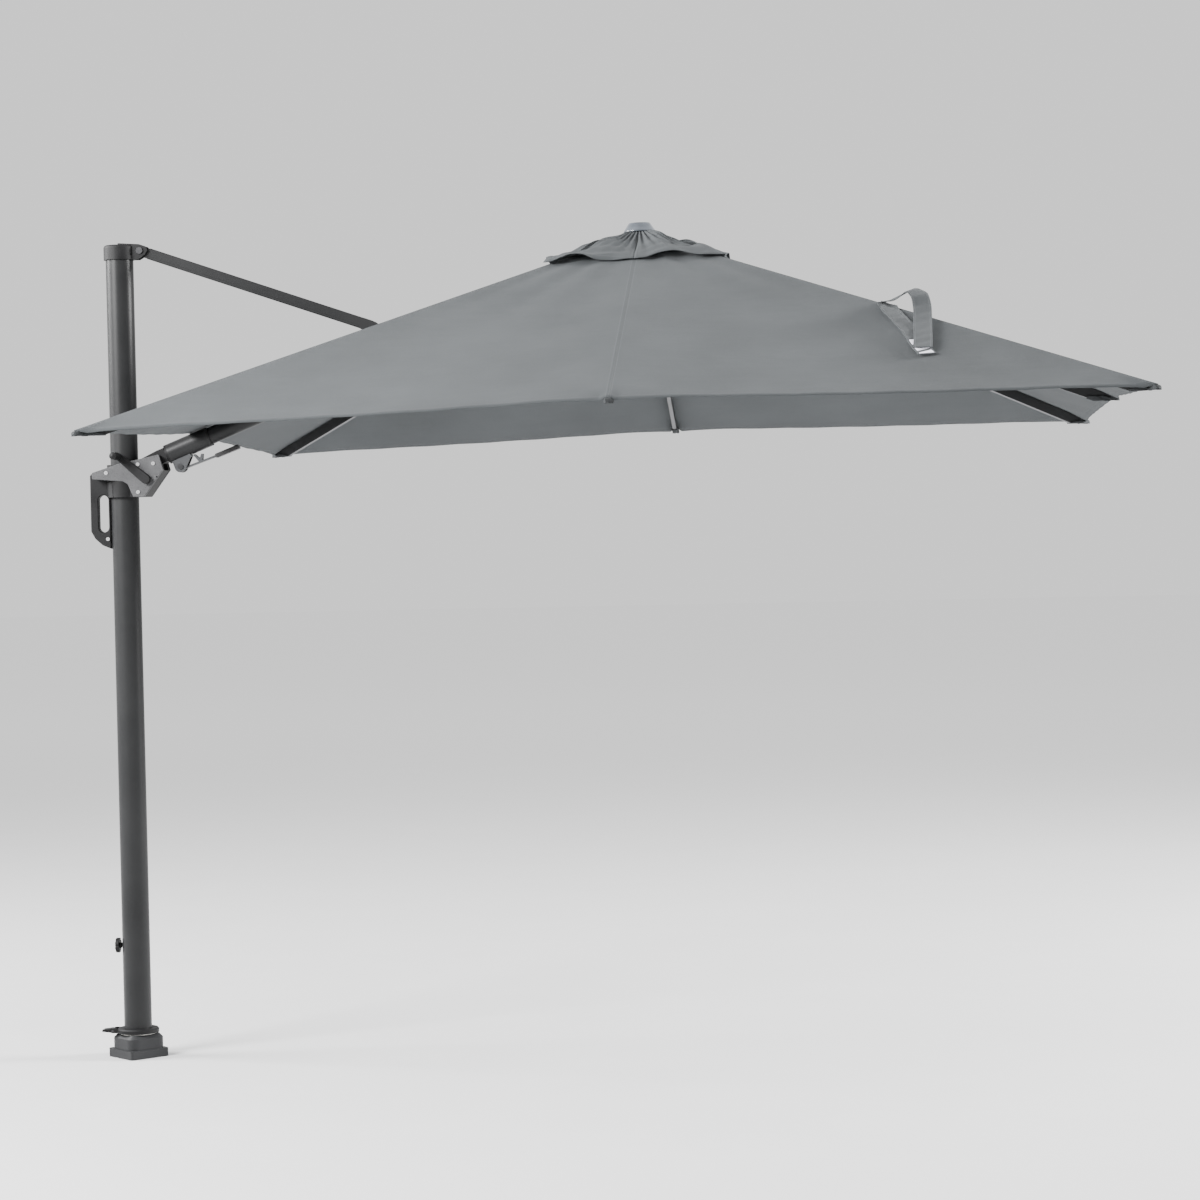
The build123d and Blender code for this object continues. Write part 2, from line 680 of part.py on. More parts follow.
with BuildPart() as arm_sleeve:
    with BuildSketch(arm_section(SLEEVE_START)):
        Circle(SLEEVE_R)
        Circle(ARM_R + RUN_FIT, mode=Mode.SUBTRACT)
    extrude(amount=SLEEVE_END - SLEEVE_START)
arm_sleeve.part.label = "arm_sleeve"
export_step(arm_sleeve.part, "parts/arm_sleeve.step")

with BuildPart() as arm_tube:
    with BuildSketch(arm_section(ARM_START)):
        Circle(ARM_R)
        Circle(ARM_R - ARM_WALL, mode=Mode.SUBTRACT)
    extrude(amount=ARM_END - ARM_START)
arm_tube.part.label = "arm_tube"
export_step(arm_tube.part, "parts/arm_tube.step")

with BuildPart() as lever_bracket:
    with BuildSketch(ARM_PLANE):
        with Locations((LEVER_S, LEVER_T)):
            Circle(LEVER_EAR_R)
        with Locations((LEVER_S + LEVER_FOOT_S, -SLEEVE_R)):
            Rectangle(LEVER_FOOT_L, LEVER_FOOT_T)
        make_hull()
    extrude(amount=LEVER_EAR_OUT, both=True)
    with BuildSketch(ARM_PLANE):
        with Locations((LEVER_S, LEVER_T - LEVER_SLOT_DROP)):
            Rectangle(LEVER_SLOT_L, LEVER_SLOT_H)
    extrude(amount=LEVER_HALF_W + SIDE_GAP, both=True, mode=Mode.SUBTRACT)
    with BuildSketch(arm_section(SLEEVE_START)):
        Circle(SLEEVE_R)
    extrude(amount=SLEEVE_END - SLEEVE_START, mode=Mode.SUBTRACT)
    with BuildSketch(ARM_PLANE):
        with Locations((LEVER_S, LEVER_T)):
            Circle(LEVER_PIN_R)
    extrude(amount=LEVER_EAR_OUT, both=True, mode=Mode.SUBTRACT)
lever_bracket.part.label = "lever_bracket"
export_step(lever_bracket.part, "parts/lever_bracket.step")

with BuildPart() as lever_pin:
    with BuildSketch(ARM_PLANE):
        with Locations((LEVER_S, LEVER_T)):
            Circle(LEVER_PIN_R)
    extrude(amount=LEVER_EAR_OUT, both=True)
    for way in (1, -1):
        with BuildSketch(ARM_PLANE.offset(way * LEVER_EAR_OUT)):
            with Locations((LEVER_S, LEVER_T)):
                Circle(LEVER_HEAD_R)
        extrude(amount=way * LEVER_HEAD)
lever_pin.part.label = "lever_pin"
export_step(lever_pin.part, "parts/lever_pin.step")

with BuildPart() as side_lever:
    with BuildSketch(ARM_PLANE):
        with Locations((LEVER_S, LEVER_T)):
            Circle(LEVER_EYE_R)
        with BuildLine():
            Polyline(
                (LEVER_S, LEVER_T - LEVER_EYE_R),
                (LEVER_S + LEVER_HEEL, LEVER_T - LEVER_EYE_R),
                (GRIP_START, LEVER_BAR_T - LEVER_BAR_H),
                (GRIP_END - LEVER_TANG_END, LEVER_BAR_T - LEVER_BAR_H - LEVER_TANG_DROP),
                (GRIP_END - LEVER_TANG_END, LEVER_BAR_T - LEVER_TANG_DROP),
                (GRIP_START, LEVER_BAR_T),
                (LEVER_S + LEVER_HEEL, LEVER_T - LEVER_EYE_R + LEVER_BAR_H),
                (LEVER_S, LEVER_T),
                close=True,
            )
        make_face()
        with BuildLine():
            Polyline(*[(LEVER_S + along, across) for along, across in LINK_RISE], close=True)
        make_face()
        with Locations((LEVER_S, LEVER_T)):
            Circle(LEVER_PIN_R + RUN_FIT, mode=Mode.SUBTRACT)
    extrude(amount=LEVER_HALF_W, both=True)
side_lever.part.label = "side_lever"
export_step(side_lever.part, "parts/side_lever.step")

with BuildPart() as lever_grip:
    with BuildSketch(ARM_PLANE):
        with BuildLine():
            Polyline(
                (GRIP_START, LEVER_BAR_T + GRIP_OVER),
                (GRIP_END, LEVER_BAR_T + GRIP_OVER_END),
                (GRIP_END, LEVER_BAR_T - LEVER_BAR_H - GRIP_UNDER_END),
                (GRIP_START, LEVER_BAR_T - LEVER_BAR_H - GRIP_OVER),
                close=True,
            )
        make_face()
    extrude(amount=LEVER_HALF_W + GRIP_SIDE, both=True)
    fillet(lever_grip.edges(), radius=GRIP_EDGE_R)
    with BuildSketch(ARM_PLANE):
        with BuildLine():
            Polyline(
                (GRIP_START, LEVER_BAR_T - LEVER_BAR_H),
                (GRIP_END - LEVER_TANG_END, LEVER_BAR_T - LEVER_BAR_H - LEVER_TANG_DROP),
                (GRIP_END - LEVER_TANG_END, LEVER_BAR_T - LEVER_TANG_DROP),
                (GRIP_START, LEVER_BAR_T),
                close=True,
            )
        make_face()
    extrude(amount=LEVER_HALF_W, both=True, mode=Mode.SUBTRACT)
lever_grip.part.label = "lever_grip"
export_step(lever_grip.part, "parts/lever_grip.step")

# ---- Carriage ----
with BuildPart() as slider_body:
    with BuildSketch(Plane.XY.offset(CARRIAGE_BOTTOM_Z)):
        Circle(COLLAR_OUT_R)
    extrude(amount=CARRIAGE_COLLAR_H)
    with BuildSketch(Plane.XZ):
        with BuildLine():
            Polyline(*BODY_OUTLINE, close=True)
        make_face()
    extrude(amount=CARRIAGE_HALF, both=True)
    with BuildSketch(Plane.XY.offset(CARRIAGE_BOTTOM_Z)):
        Circle(MAST_R + RUN_FIT)
    extrude(amount=2 * CARRIAGE_COLLAR_H, mode=Mode.SUBTRACT)
    with BuildSketch(Plane.XZ):
        with BuildLine():
            Polyline(*KNUCKLE_WINDOW, close=True)
        make_face()
    extrude(amount=KNUCKLE_HALF + SIDE_GAP, both=True, mode=Mode.SUBTRACT)
    with BuildSketch(Plane.XZ):
        with Locations((PIVOT_X, CARRIAGE_PIVOT_Z)):
            Circle(KNUCKLE_PIN_R)
    extrude(amount=CARRIAGE_HALF, both=True, mode=Mode.SUBTRACT)
    with BuildSketch(Plane.XZ.offset(CARRIAGE_HALF)):
        with Locations((CRANK_X, CRANK_Z)):
            Circle(CRANK_SHAFT_R + RUN_FIT)
    extrude(amount=-CRANK_SHAFT_IN, mode=Mode.SUBTRACT)
    with BuildSketch(Plane.XZ.offset(CARRIAGE_HALF)):
        with Locations(*CHEEK_SCREWS[1:]):
            Circle(SCREW_R)
    extrude(amount=-SCREW_IN, mode=Mode.SUBTRACT)
    for way in (1, -1):
        with BuildSketch(Plane.XZ.offset(way * CARRIAGE_HALF)):
            with BuildLine():
                Polyline(*CHEEK_OUTLINE, close=True)
            make_face()
        extrude(amount=way * CHEEK_T, mode=Mode.SUBTRACT)
slider_body.part.label = "slider_body"
export_step(slider_body.part, "parts/slider_body.step")

with BuildPart() as cheek_front:
    with BuildSketch(Plane.XZ.offset(CARRIAGE_HALF)):
        with BuildLine():
            Polyline(*CHEEK_OUTLINE, close=True)
        make_face()
    extrude(amount=CHEEK_T)
    fillet(cheek_front.edges().filter_by(Axis.Y), radius=CHEEK_CORNER_R)
    chamfer(cheek_front.faces().sort_by(Axis.Y)[0].edges(), length=CHEEK_BEVEL)
    with BuildSketch(Plane.XZ.offset(CARRIAGE_HALF)):
        with Locations((CRANK_X, CRANK_Z)):
            Circle(CRANK_SHAFT_R + RUN_FIT)
        with Locations(*CHEEK_SCREWS):
            Circle(SCREW_R)
        with Locations(CHEEK_HOLE):
            Circle(CHEEK_HOLE_R)
    extrude(amount=CHEEK_T, mode=Mode.SUBTRACT)
cheek_front.part.label = "cheek_front"
export_step(cheek_front.part, "parts/cheek_front.step")

with BuildPart() as cheek_back:
    with BuildSketch(Plane.XZ.offset(-CARRIAGE_HALF)):
        with BuildLine():
            Polyline(*CHEEK_OUTLINE, close=True)
        make_face()
    extrude(amount=-CHEEK_T)
    fillet(cheek_back.edges().filter_by(Axis.Y), radius=CHEEK_CORNER_R)
    chamfer(cheek_back.faces().sort_by(Axis.Y)[-1].edges(), length=CHEEK_BEVEL)
cheek_back.part.label = "cheek_back"
export_step(cheek_back.part, "parts/cheek_back.step")

with BuildPart() as knuckle_pin:
    with BuildSketch(Plane.XZ):
        with Locations((PIVOT_X, CARRIAGE_PIVOT_Z)):
            Circle(KNUCKLE_PIN_R)
    extrude(amount=CARRIAGE_HALF, both=True)
knuckle_pin.part.label = "knuckle_pin"
export_step(knuckle_pin.part, "parts/knuckle_pin.step")

with BuildPart() as grip_handle:
    with BuildSketch(Plane.XZ):
        with BuildLine():
            Polyline(*GRIP_OUTLINE, close=True)
        make_face()
        with Locations((GRIP_WINDOW_X, GRIP_WINDOW_Z)):
            SlotOverall(GRIP_WINDOW_H, GRIP_WINDOW_W, rotation=90, mode=Mode.SUBTRACT)
    extrude(amount=GRIP_HALF, both=True)
    fillet(grip_handle.edges().filter_by(Axis.Y).group_by(Axis.X)[0], radius=HANDLE_CORNER_R)
    chamfer(grip_handle.faces().filter_by(Axis.Y).edges(), length=HANDLE_BEVEL)
    with BuildSketch(Plane.XZ):
        with BuildLine():
            Polyline(*GRIP_LUG_OUTLINE, close=True)
        make_face()
    extrude(amount=CARRIAGE_HALF, both=True)
    with BuildSketch(Plane.XY.offset(CARRIAGE_BOTTOM_Z)):
        Circle(COLLAR_OUT_R)
    extrude(amount=CARRIAGE_COLLAR_H, mode=Mode.SUBTRACT)
    with BuildSketch(Plane.XZ.offset(CARRIAGE_HALF)):
        with Locations(CHEEK_SCREWS[0]):
            Circle(SCREW_R)
    extrude(amount=-SCREW_IN, mode=Mode.SUBTRACT)
    with BuildSketch(Plane.XZ.offset(GRIP_HALF)):
        with Locations(GRIP_SCREW):
            Circle(SCREW_R)
    extrude(amount=-SCREW_IN, mode=Mode.SUBTRACT)
grip_handle.part.label = "grip_handle"
export_step(grip_handle.part, "parts/grip_handle.step")

with BuildPart() as cheek_screws:
    for face_y, spots, cover in ((CARRIAGE_HALF + CHEEK_T, CHEEK_SCREWS, CHEEK_T),
                                 (GRIP_HALF, [GRIP_SCREW], 0)):
        with BuildSketch(Plane.XZ.offset(face_y)):
            with Locations(*spots):
                Circle(SCREW_HEAD_R)
        extrude(amount=SCREW_HEAD)
        with BuildSketch(Plane.XZ.offset(face_y)):
            with Locations(*spots):
                Circle(SCREW_R)
        extrude(amount=-cover - SCREW_IN)
        with BuildSketch(Plane.XZ.offset(face_y + SCREW_HEAD)):
            with Locations(*spots):
                RegularPolygon(SCREW_HEX_R, 6)
        extrude(amount=-SCREW_HEAD / 2, mode=Mode.SUBTRACT)
cheek_screws.part.label = "cheek_screws"
export_step(cheek_screws.part, "parts/cheek_screws.step")

with BuildPart() as crank_arm:
    with BuildSketch(Plane.XZ.offset(CRANK_FACE)):
        with Locations((CRANK_X, CRANK_Z)):
            Circle(CRANK_HUB_R)
        with Locations((CRANK_END_X, CRANK_END_Z)):
            Circle(CRANK_TIP_R)
        make_hull()
    extrude(amount=CRANK_T)
    chamfer(crank_arm.faces().sort_by(Axis.Y)[0].edges(), length=CRANK_BEVEL)
    with BuildSketch(Plane.XZ.offset(CRANK_FACE)):
        with Locations((CRANK_X, CRANK_Z)):
            Circle(CRANK_SHAFT_R)
    extrude(amount=-(CRANK_FACE - CARRIAGE_HALF + CRANK_SHAFT_IN - CRANK_SHAFT_SHORT))
    with BuildSketch(Plane.XZ.offset(CRANK_FACE + CRANK_T)):
        with Locations((CRANK_END_X, CRANK_END_Z)):
            Circle(CRANK_AXLE_R)
    extrude(amount=CRANK_AXLE)
crank_arm.part.label = "crank_arm"
export_step(crank_arm.part, "parts/crank_arm.step")

with BuildPart() as crank_knob:
    with BuildSketch(Plane(origin=(CRANK_END_X, -CRANK_FACE - CRANK_T, CRANK_END_Z), x_dir=(0, 0, 1),
                           z_dir=(1, 0, 0))):
        with BuildLine():
            knob_side = Spline(*[(r, KNOB_START + along) for r, along in KNOB_SIDE])
            Polyline(knob_side @ 1, (0, KNOB_START + KNOB_LENGTH), (0, KNOB_START), knob_side @ 0)
        make_face()
    revolve(axis=Axis((CRANK_END_X, 0, CRANK_END_Z), (0, 1, 0)))
    with BuildSketch(Plane.XZ.offset(CRANK_FACE + CRANK_T)):
        with Locations((CRANK_END_X, CRANK_END_Z)):
            Circle(CRANK_AXLE_R + RUN_FIT)
    extrude(amount=CRANK_AXLE + CRANK_AXLE_END_GAP, mode=Mode.SUBTRACT)
crank_knob.part.label = "crank_knob"
export_step(crank_knob.part, "parts/crank_knob.step")

# ---- Arm end and crown ----
HANGER_S = (CANOPY_X - HANGER_X - PIVOT_X) / cos(radians(ARM_SLOPE))
HANGER = ARM_PLANE.from_local_coords((HANGER_S, 0, 0))
HANGER_PLANE = side_plane(HANGER.X, HANGER.Z)
HUB_ON_HANGER = HANGER_PLANE.to_local_coords(canopy_point(0, 0, HUB_BOTTOM))

with BuildPart() as arm_end:
    with BuildSketch(arm_section(ARM_END - ARM_PLUG)):
        Circle(ARM_R - ARM_WALL)
    extrude(amount=ARM_PLUG)
    with BuildSketch(arm_section(ARM_END)):
        Circle(ARM_R)
    extrude(amount=ARM_END_SHOULDER, taper=ARM_END_TAPER)
    with BuildSketch(ARM_PLANE):
        with Locations((HANGER_S, 0)):
            Circle(HANGER_EYE_R)
        with Locations((ARM_END + ARM_END_FOOT_S, 0)):
            Rectangle(ARM_END_FOOT_L, ARM_END_FOOT_H)
        make_hull()
    extrude(amount=EAR_OUT, both=True)
    with BuildSketch(ARM_PLANE):
        with Locations((HANGER_S, 0)):
            Circle(HANGER_EYE_R + HANGER_CLEAR)
    extrude(amount=EAR_IN, both=True, mode=Mode.SUBTRACT)
    with BuildSketch(ARM_PLANE):
        with Locations((HANGER_S, 0)):
            Circle(HANGER_PIN_R)
    extrude(amount=EAR_OUT, both=True, mode=Mode.SUBTRACT)
arm_end.part.label = "arm_end"
export_step(arm_end.part, "parts/arm_end.step")

with BuildPart() as crown_pin:
    with BuildSketch(HANGER_PLANE):
        Circle(HANGER_PIN_R)
    extrude(amount=EAR_OUT, both=True)
    for way in (1, -1):
        with BuildSketch(HANGER_PLANE.offset(way * EAR_OUT)):
            Circle(HANGER_HEAD_R)
        extrude(amount=way * HANGER_HEAD)
crown_pin.part.label = "crown_pin"
export_step(crown_pin.part, "parts/crown_pin.step")

with BuildPart() as crown_hub:
    with BuildSketch(canopy_level(HUB_BOTTOM)):
        Circle(HUB_R)
    extrude(amount=HUB_TOP - HUB_BOTTOM)
    for azimuth in [*MID_RIBS.values(), *CORNER_RIBS.values()]:
        with BuildSketch(canopy_level(HUB_BOTTOM)):
            with PolarLocations((SLOT_INNER_R + HUB_R + SLOT_OVERRUN) / 2, 1, start_angle=azimuth):
                Rectangle(HUB_R + SLOT_OVERRUN - SLOT_INNER_R, SLOT_W)
        extrude(amount=HUB_TOP - HUB_BOTTOM, mode=Mode.SUBTRACT)
    for group, hinge_r in ((MID_RIBS, MID_HINGE_R), (CORNER_RIBS, CORNER_HINGE_R)):
        for azimuth in group.values():
            with BuildSketch(radial_plane(azimuth, hinge_r, 0, 0)):
                Circle(PIN_R)
            extrude(amount=SLOT_W / 2 + PIN_SINK, both=True)
    with BuildSketch(canopy_level(HUB_TOP)):
        Circle(STEM_R)
    extrude(amount=STEM_TOP - HUB_TOP)
    with BuildSketch(HANGER_PLANE):
        Circle(HANGER_EYE_R)
        with Locations((HUB_ON_HANGER.X - HANGER_FOOT_L / 2, HUB_ON_HANGER.Y)):
            Rectangle(HANGER_FOOT_L, HANGER_FOOT_T)
        make_hull()
        Circle(HANGER_PIN_R + RUN_FIT, mode=Mode.SUBTRACT)
    extrude(amount=HANGER_HALF, both=True)
crown_hub.part.label = "crown_hub"
export_step(crown_hub.part, "parts/crown_hub.step")

with BuildPart() as finial:
    with BuildSketch(canopy_level(STEM_TOP)):
        Circle(FINIAL_LOW_R)
    with BuildSketch(canopy_level(STEM_TOP + FINIAL_H)):
        Circle(FINIAL_TOP_R)
    loft()
    fillet(finial.edges(), radius=FINIAL_EDGE_R)
finial.part.label = "finial"
export_step(finial.part, "parts/finial.step")

FLAP_TOP_Z = FLAP_EDGE_Z + (FLAP_HALF - FLAP_TOP_HALF) * FLAP_SLOPE
with BuildPart() as vent_flap:
    for drop, mode in ((0, Mode.ADD), (FLAP_T, Mode.SUBTRACT)):
        with BuildSketch(canopy_level(FLAP_EDGE_Z - drop)):
            Rectangle(2 * FLAP_HALF, 2 * FLAP_HALF)
        with BuildSketch(canopy_level(FLAP_TOP_Z - drop)):
            Rectangle(2 * FLAP_TOP_HALF, 2 * FLAP_TOP_HALF)
        loft(mode=mode)
    with BuildSketch(canopy_level(FLAP_TOP_Z)):
        Circle(STEM_R + SLOT_OVERRUN / 2)
    extrude(amount=-2 * FLAP_T, mode=Mode.SUBTRACT)
vent_flap.part.label = "vent_flap"
export_step(vent_flap.part, "parts/vent_flap.step")


# ---- Ribs and their struts ----
def export_rib(name, azimuth, hinge_r, slope, tube_start, tip_r, rim_z, arm, lug_angle):
    """One rib: tube, tongue in the crown's slot, lug for its strut and a tip that is cut level below."""
    swing = radial_plane(azimuth, hinge_r, 0, slope)
    length = (tip_r - hinge_r) / cos(radians(slope))
    lug_s = arm * cos(radians(lug_angle))
    lug_t = -arm * sin(radians(lug_angle))
    with BuildPart() as rib:
        with BuildSketch(section_plane(swing, tube_start)):
            RectangleRounded(RIB_W, RIB_H, RIB_CORNER_R)
            RectangleRounded(RIB_W - 2 * RIB_WALL, RIB_H - 2 * RIB_WALL, RIB_BORE_R, mode=Mode.SUBTRACT)
        extrude(amount=length - tube_start)
        with BuildSketch(section_plane(swing, tube_start)):
            RectangleRounded(RIB_W, RIB_H, RIB_CORNER_R)
        extrude(amount=RIB_PLUG)
        with BuildSketch(swing):
            Circle(TONGUE_R)
            with Locations((tube_start + TONGUE_FOOT / 2, 0)):
                Rectangle(TONGUE_FOOT, RIB_H - TONGUE_FOOT_IN)
            make_hull()
        extrude(amount=TONGUE_T / 2, both=True)
        with BuildSketch(swing):
            with Locations((lug_s, lug_t)):
                Circle(LUG_EYE_R)
            with Locations((lug_s, (LUG_FOOT_T - RIB_H) / 2)):
                Rectangle(2 * LUG_FOOT, LUG_FOOT_T)
            make_hull()
        extrude(amount=LUG_T / 2, both=True)
        with BuildSketch(swing):
            Circle(PIN_R + RUN_FIT)
            with Locations((lug_s, lug_t)):
                Circle(PIN_R + RUN_FIT)
        extrude(amount=RIB_W, both=True, mode=Mode.SUBTRACT)
        with BuildSketch(section_plane(swing, length)):
            RectangleRounded(RIB_W + RIB_CAP_OVER, RIB_H + RIB_CAP_DEEPER, RIB_CAP_CORNER_R)
        extrude(amount=RIB_CAP_R)
        with BuildSketch(section_plane(swing, length - RIB_TIP_PLUG)):
            RectangleRounded(RIB_W, RIB_H, RIB_CORNER_R)
        extrude(amount=RIB_TIP_PLUG)
        with BuildSketch(canopy_level(rim_z - RIB_TIP_DEPTH)):
            Circle(2 * CANOPY_HALF)
        extrude(amount=-3 * RIB_H, mode=Mode.SUBTRACT)
    rib.part.label = "rib_" + name
    export_step(rib.part, "parts/rib_" + name + ".step")


def export_strut(name, azimuth, pin_r, pin_z, slope, length, play):
    """One strut: a fork over its rib's lug, a bar and a tongue in the runner's slot."""
    swing = radial_plane(azimuth + 180, -pin_r, pin_z, slope)
    with BuildPart() as strut:
        with BuildSketch(swing):
            Circle(STRUT_EYE_R)
            with Locations((STRUT_FORK_LEN / 2, 0)):
                Rectangle(STRUT_FORK_LEN, STRUT_H)
        extrude(amount=STRUT_FORK_W / 2, both=True)
        with BuildSketch(section_plane(swing, STRUT_FORK_LEN)):
            RectangleRounded(STRUT_W, STRUT_H, STRUT_CORNER_R)
        extrude(amount=length - STRUT_TONGUE - STRUT_FORK_LEN)
        with BuildSketch(swing):
            with Locations((STRUT_FORK_DEPTH / 2 - STRUT_SLOT_BACK, 0)):
                Rectangle(STRUT_FORK_DEPTH + 2 * STRUT_SLOT_BACK, 2 * STRUT_H)
        extrude(amount=LUG_T / 2 + FORK_LUG_GAP, both=True, mode=Mode.SUBTRACT)
        with BuildSketch(swing):
            Circle(PIN_R)
        extrude(amount=STRUT_FORK_W / 2, both=True)
        with BuildSketch(swing):
            with Locations((length, 0)):
                Circle(STRUT_EYE_R)
            with Locations((length - STRUT_TONGUE / 2, 0)):
                Rectangle(STRUT_TONGUE, STRUT_H)
            with Locations((length, 0)):
                Circle(PIN_R + play, mode=Mode.SUBTRACT)
        extrude(amount=LUG_T / 2, both=True)
    strut.part.label = "strut_" + name
    export_step(strut.part, "parts/strut_" + name + ".step")


MID_LINE = radians(MID_SLOPE + MID_LUG_ANGLE)
CORNER_LINE = radians(CORNER_SLOPE + CORNER_LUG_ANGLE)
RUNNER_Z = -2 * MID_ARM * sin(MID_LINE)

for name, azimuth in MID_RIBS.items():
    export_rib(name, azimuth, MID_HINGE_R, MID_SLOPE, TUBE_START_MID, MID_TIP_R, RIM_MID_Z, MID_ARM,
               MID_LUG_ANGLE)
    export_strut(name, azimuth, MID_HINGE_R + MID_ARM * cos(MID_LINE), -MID_ARM * sin(MID_LINE),
                 degrees(MID_LINE), MID_ARM, RUN_FIT)

for name, azimuth in CORNER_RIBS.items():
    export_rib(name, azimuth, CORNER_HINGE_R, CORNER_SLOPE, TUBE_START_CORNER, CORNER_TIP_R,
               RIM_CORNER_Z, CORNER_ARM, CORNER_LUG_ANGLE)
    export_strut(name, azimuth, CORNER_HINGE_R + CORNER_ARM * cos(CORNER_LINE),
                 -CORNER_ARM * sin(CORNER_LINE), CORNER_STRUT_SLOPE, CORNER_STRUT, CORNER_HOLE_PLAY)

with BuildPart() as runner:
    for level, disc_r in ((RUNNER_Z, RUNNER_R), (RUNNER_Z + CORNER_RUNNER_UP, RUNNER_TOP_R)):
        with BuildSketch(canopy_level(level - RUNNER_DISC / 2)):
            Circle(disc_r)
        extrude(amount=RUNNER_DISC)
    with BuildSketch(canopy_level(RUNNER_Z)):
        Circle(RUNNER_STEM_R)
    extrude(amount=CORNER_RUNNER_UP)
    for azimuth in CORNER_RIBS.values():
        with BuildSketch(canopy_level(RUNNER_Z + CORNER_RUNNER_UP - RUNNER_DISC / 2)):
            with PolarLocations((RUNNER_SLOT_R + RUNNER_TOP_R + SLOT_OVERRUN) / 2, 1, start_angle=azimuth):
                Rectangle(RUNNER_TOP_R + SLOT_OVERRUN - RUNNER_SLOT_R, RUNNER_SLOT_W)
        extrude(amount=RUNNER_DISC, mode=Mode.SUBTRACT)
        with BuildSketch(radial_plane(azimuth, CORNER_RUNNER_R, RUNNER_Z + CORNER_RUNNER_UP, 0)):
            Circle(PIN_R)
        extrude(amount=RUNNER_SLOT_W / 2 + PIN_SINK, both=True)
    for azimuth in MID_RIBS.values():
        with BuildSketch(canopy_level(RUNNER_Z - RUNNER_DISC / 2)):
            with PolarLocations((RUNNER_SLOT_R + RUNNER_R + SLOT_OVERRUN) / 2, 1, start_angle=azimuth):
                Rectangle(RUNNER_R + SLOT_OVERRUN - RUNNER_SLOT_R, RUNNER_SLOT_W)
        extrude(amount=RUNNER_DISC, mode=Mode.SUBTRACT)
        with BuildSketch(radial_plane(azimuth, MID_HINGE_R, RUNNER_Z, 0)):
            Circle(PIN_R)
        extrude(amount=RUNNER_SLOT_W / 2 + PIN_SINK, both=True)
        with BuildSketch(canopy_level(RUNNER_Z + RUNNER_DISC)):
            with PolarLocations((RUNNER_SLOT_R + RUNNER_TOP_R + SLOT_OVERRUN) / 2, 1, start_angle=azimuth):
                Rectangle(RUNNER_TOP_R + SLOT_OVERRUN - RUNNER_SLOT_R, RUNNER_CLEAR_W)
        extrude(amount=CORNER_RUNNER_UP, mode=Mode.SUBTRACT)
runner.part.label = "runner"
export_step(runner.part, "parts/runner.step")


# ---- Canopy cloth ----
def export_gore(name, side, turn, mid_z):
    """One half of a side of the canopy, from its mid rib (at azimuth side) to a corner."""
    apex = canopy_point(0, 0, APEX_Z)
    mid = radial_point(side, CANOPY_HALF, mid_z)
    corner = radial_point(side + 45 * turn, CANOPY_HALF * sqrt(2), RIM_CORNER_Z)
    down = (mid - apex).normalized()
    normal = down.cross(corner - apex).normalized() * turn
    face = Plane(origin=apex, x_dir=down, z_dir=normal)
    with BuildPart() as gore:
        with BuildSketch(face):
            with BuildLine():
                Polyline((0, 0), *[(face.to_local_coords(p).X, face.to_local_coords(p).Y)
                                   for p in (mid, corner)], close=True)
            make_face()
            offset(amount=-SEAM_GAP, kind=Kind.INTERSECTION)
        extrude(amount=FABRIC_T, dir=-CANOPY_PLANE.z_dir)
        with BuildSketch(canopy_level(-2 * CANOPY_HALF)):
            Circle(VENT_R)
            if side == ARM_SIDE:
                with Locations((TIE_SLOT_X, 0)):
                    Rectangle(TIE_SLOT_L, TIE_SLOT_W)
        extrude(amount=3 * CANOPY_HALF, mode=Mode.SUBTRACT)
    gore.part.label = name
    export_step(gore.part, "parts/" + name + ".step")


export_gore("gore_near_l", -90, -1, RIM_MID_Z)
export_gore("gore_near_r", -90, 1, RIM_MID_Z)
export_gore("gore_right_n", 0, -1, RIM_MID_Z)
export_gore("gore_right_f", 0, 1, RIM_MID_Z)
export_gore("gore_far_r", 90, -1, RIM_MID_Z)
export_gore("gore_far_l", 90, 1, RIM_MID_Z)
export_gore("gore_left_f", ARM_SIDE, -1, RIM_MID_Z + LEFT_MID_RAISE)
export_gore("gore_left_n", ARM_SIDE, 1, RIM_MID_Z + LEFT_MID_RAISE)

NEAR_MID = canopy_point(0, -CANOPY_HALF, RIM_MID_Z)
NEAR_CORNER = canopy_point(CANOPY_HALF, -CANOPY_HALF, RIM_CORNER_Z)
NEAR_NORMAL = (NEAR_MID - canopy_point(0, 0, APEX_Z)).cross(NEAR_CORNER - NEAR_MID).normalized()
FACE_FALL = -(APEX_Z - RIM_MID_Z) / CANOPY_HALF
SIDE_FALL = (RIM_CORNER_Z - RIM_MID_Z) / CANOPY_HALF


def near_face_point(x, y):
    """A point on the near half-side of the canopy."""
    return canopy_point(x, y, APEX_Z - FACE_FALL * y + SIDE_FALL * x)


STRAP_FROM = near_face_point(STRAP_X, STRAP_Y)
STRAP_ALONG = (near_face_point(STRAP_X + STRAP_RUN_X, STRAP_Y + STRAP_RUN_Y) - STRAP_FROM).normalized()
STRAP_PLANE = Plane(origin=STRAP_FROM, x_dir=STRAP_ALONG, z_dir=STRAP_ALONG.cross(NEAR_NORMAL))

with BuildPart() as closing_strap:
    for inset, mode in ((0, Mode.ADD), (STRAP_T, Mode.SUBTRACT)):
        with BuildSketch(STRAP_PLANE):
            with Locations((STRAP_LOOP_R, STRAP_LOOP_R + STRAP_GAP)):
                Circle(STRAP_LOOP_R - inset)
            with Locations((STRAP_L, 2 * STRAP_T + STRAP_GAP)):
                Circle(2 * STRAP_T - inset)
            make_hull()
        extrude(amount=STRAP_HALF_W, both=True, mode=mode)
closing_strap.part.label = "closing_strap"
export_step(closing_strap.part, "parts/closing_strap.step")
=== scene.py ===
"""Looks of the cantilever parasol: cloth canopy, vent, strap, materials, studio light and camera."""

import json
import math

import bpy
import numpy as np
from mathutils import Matrix, Vector


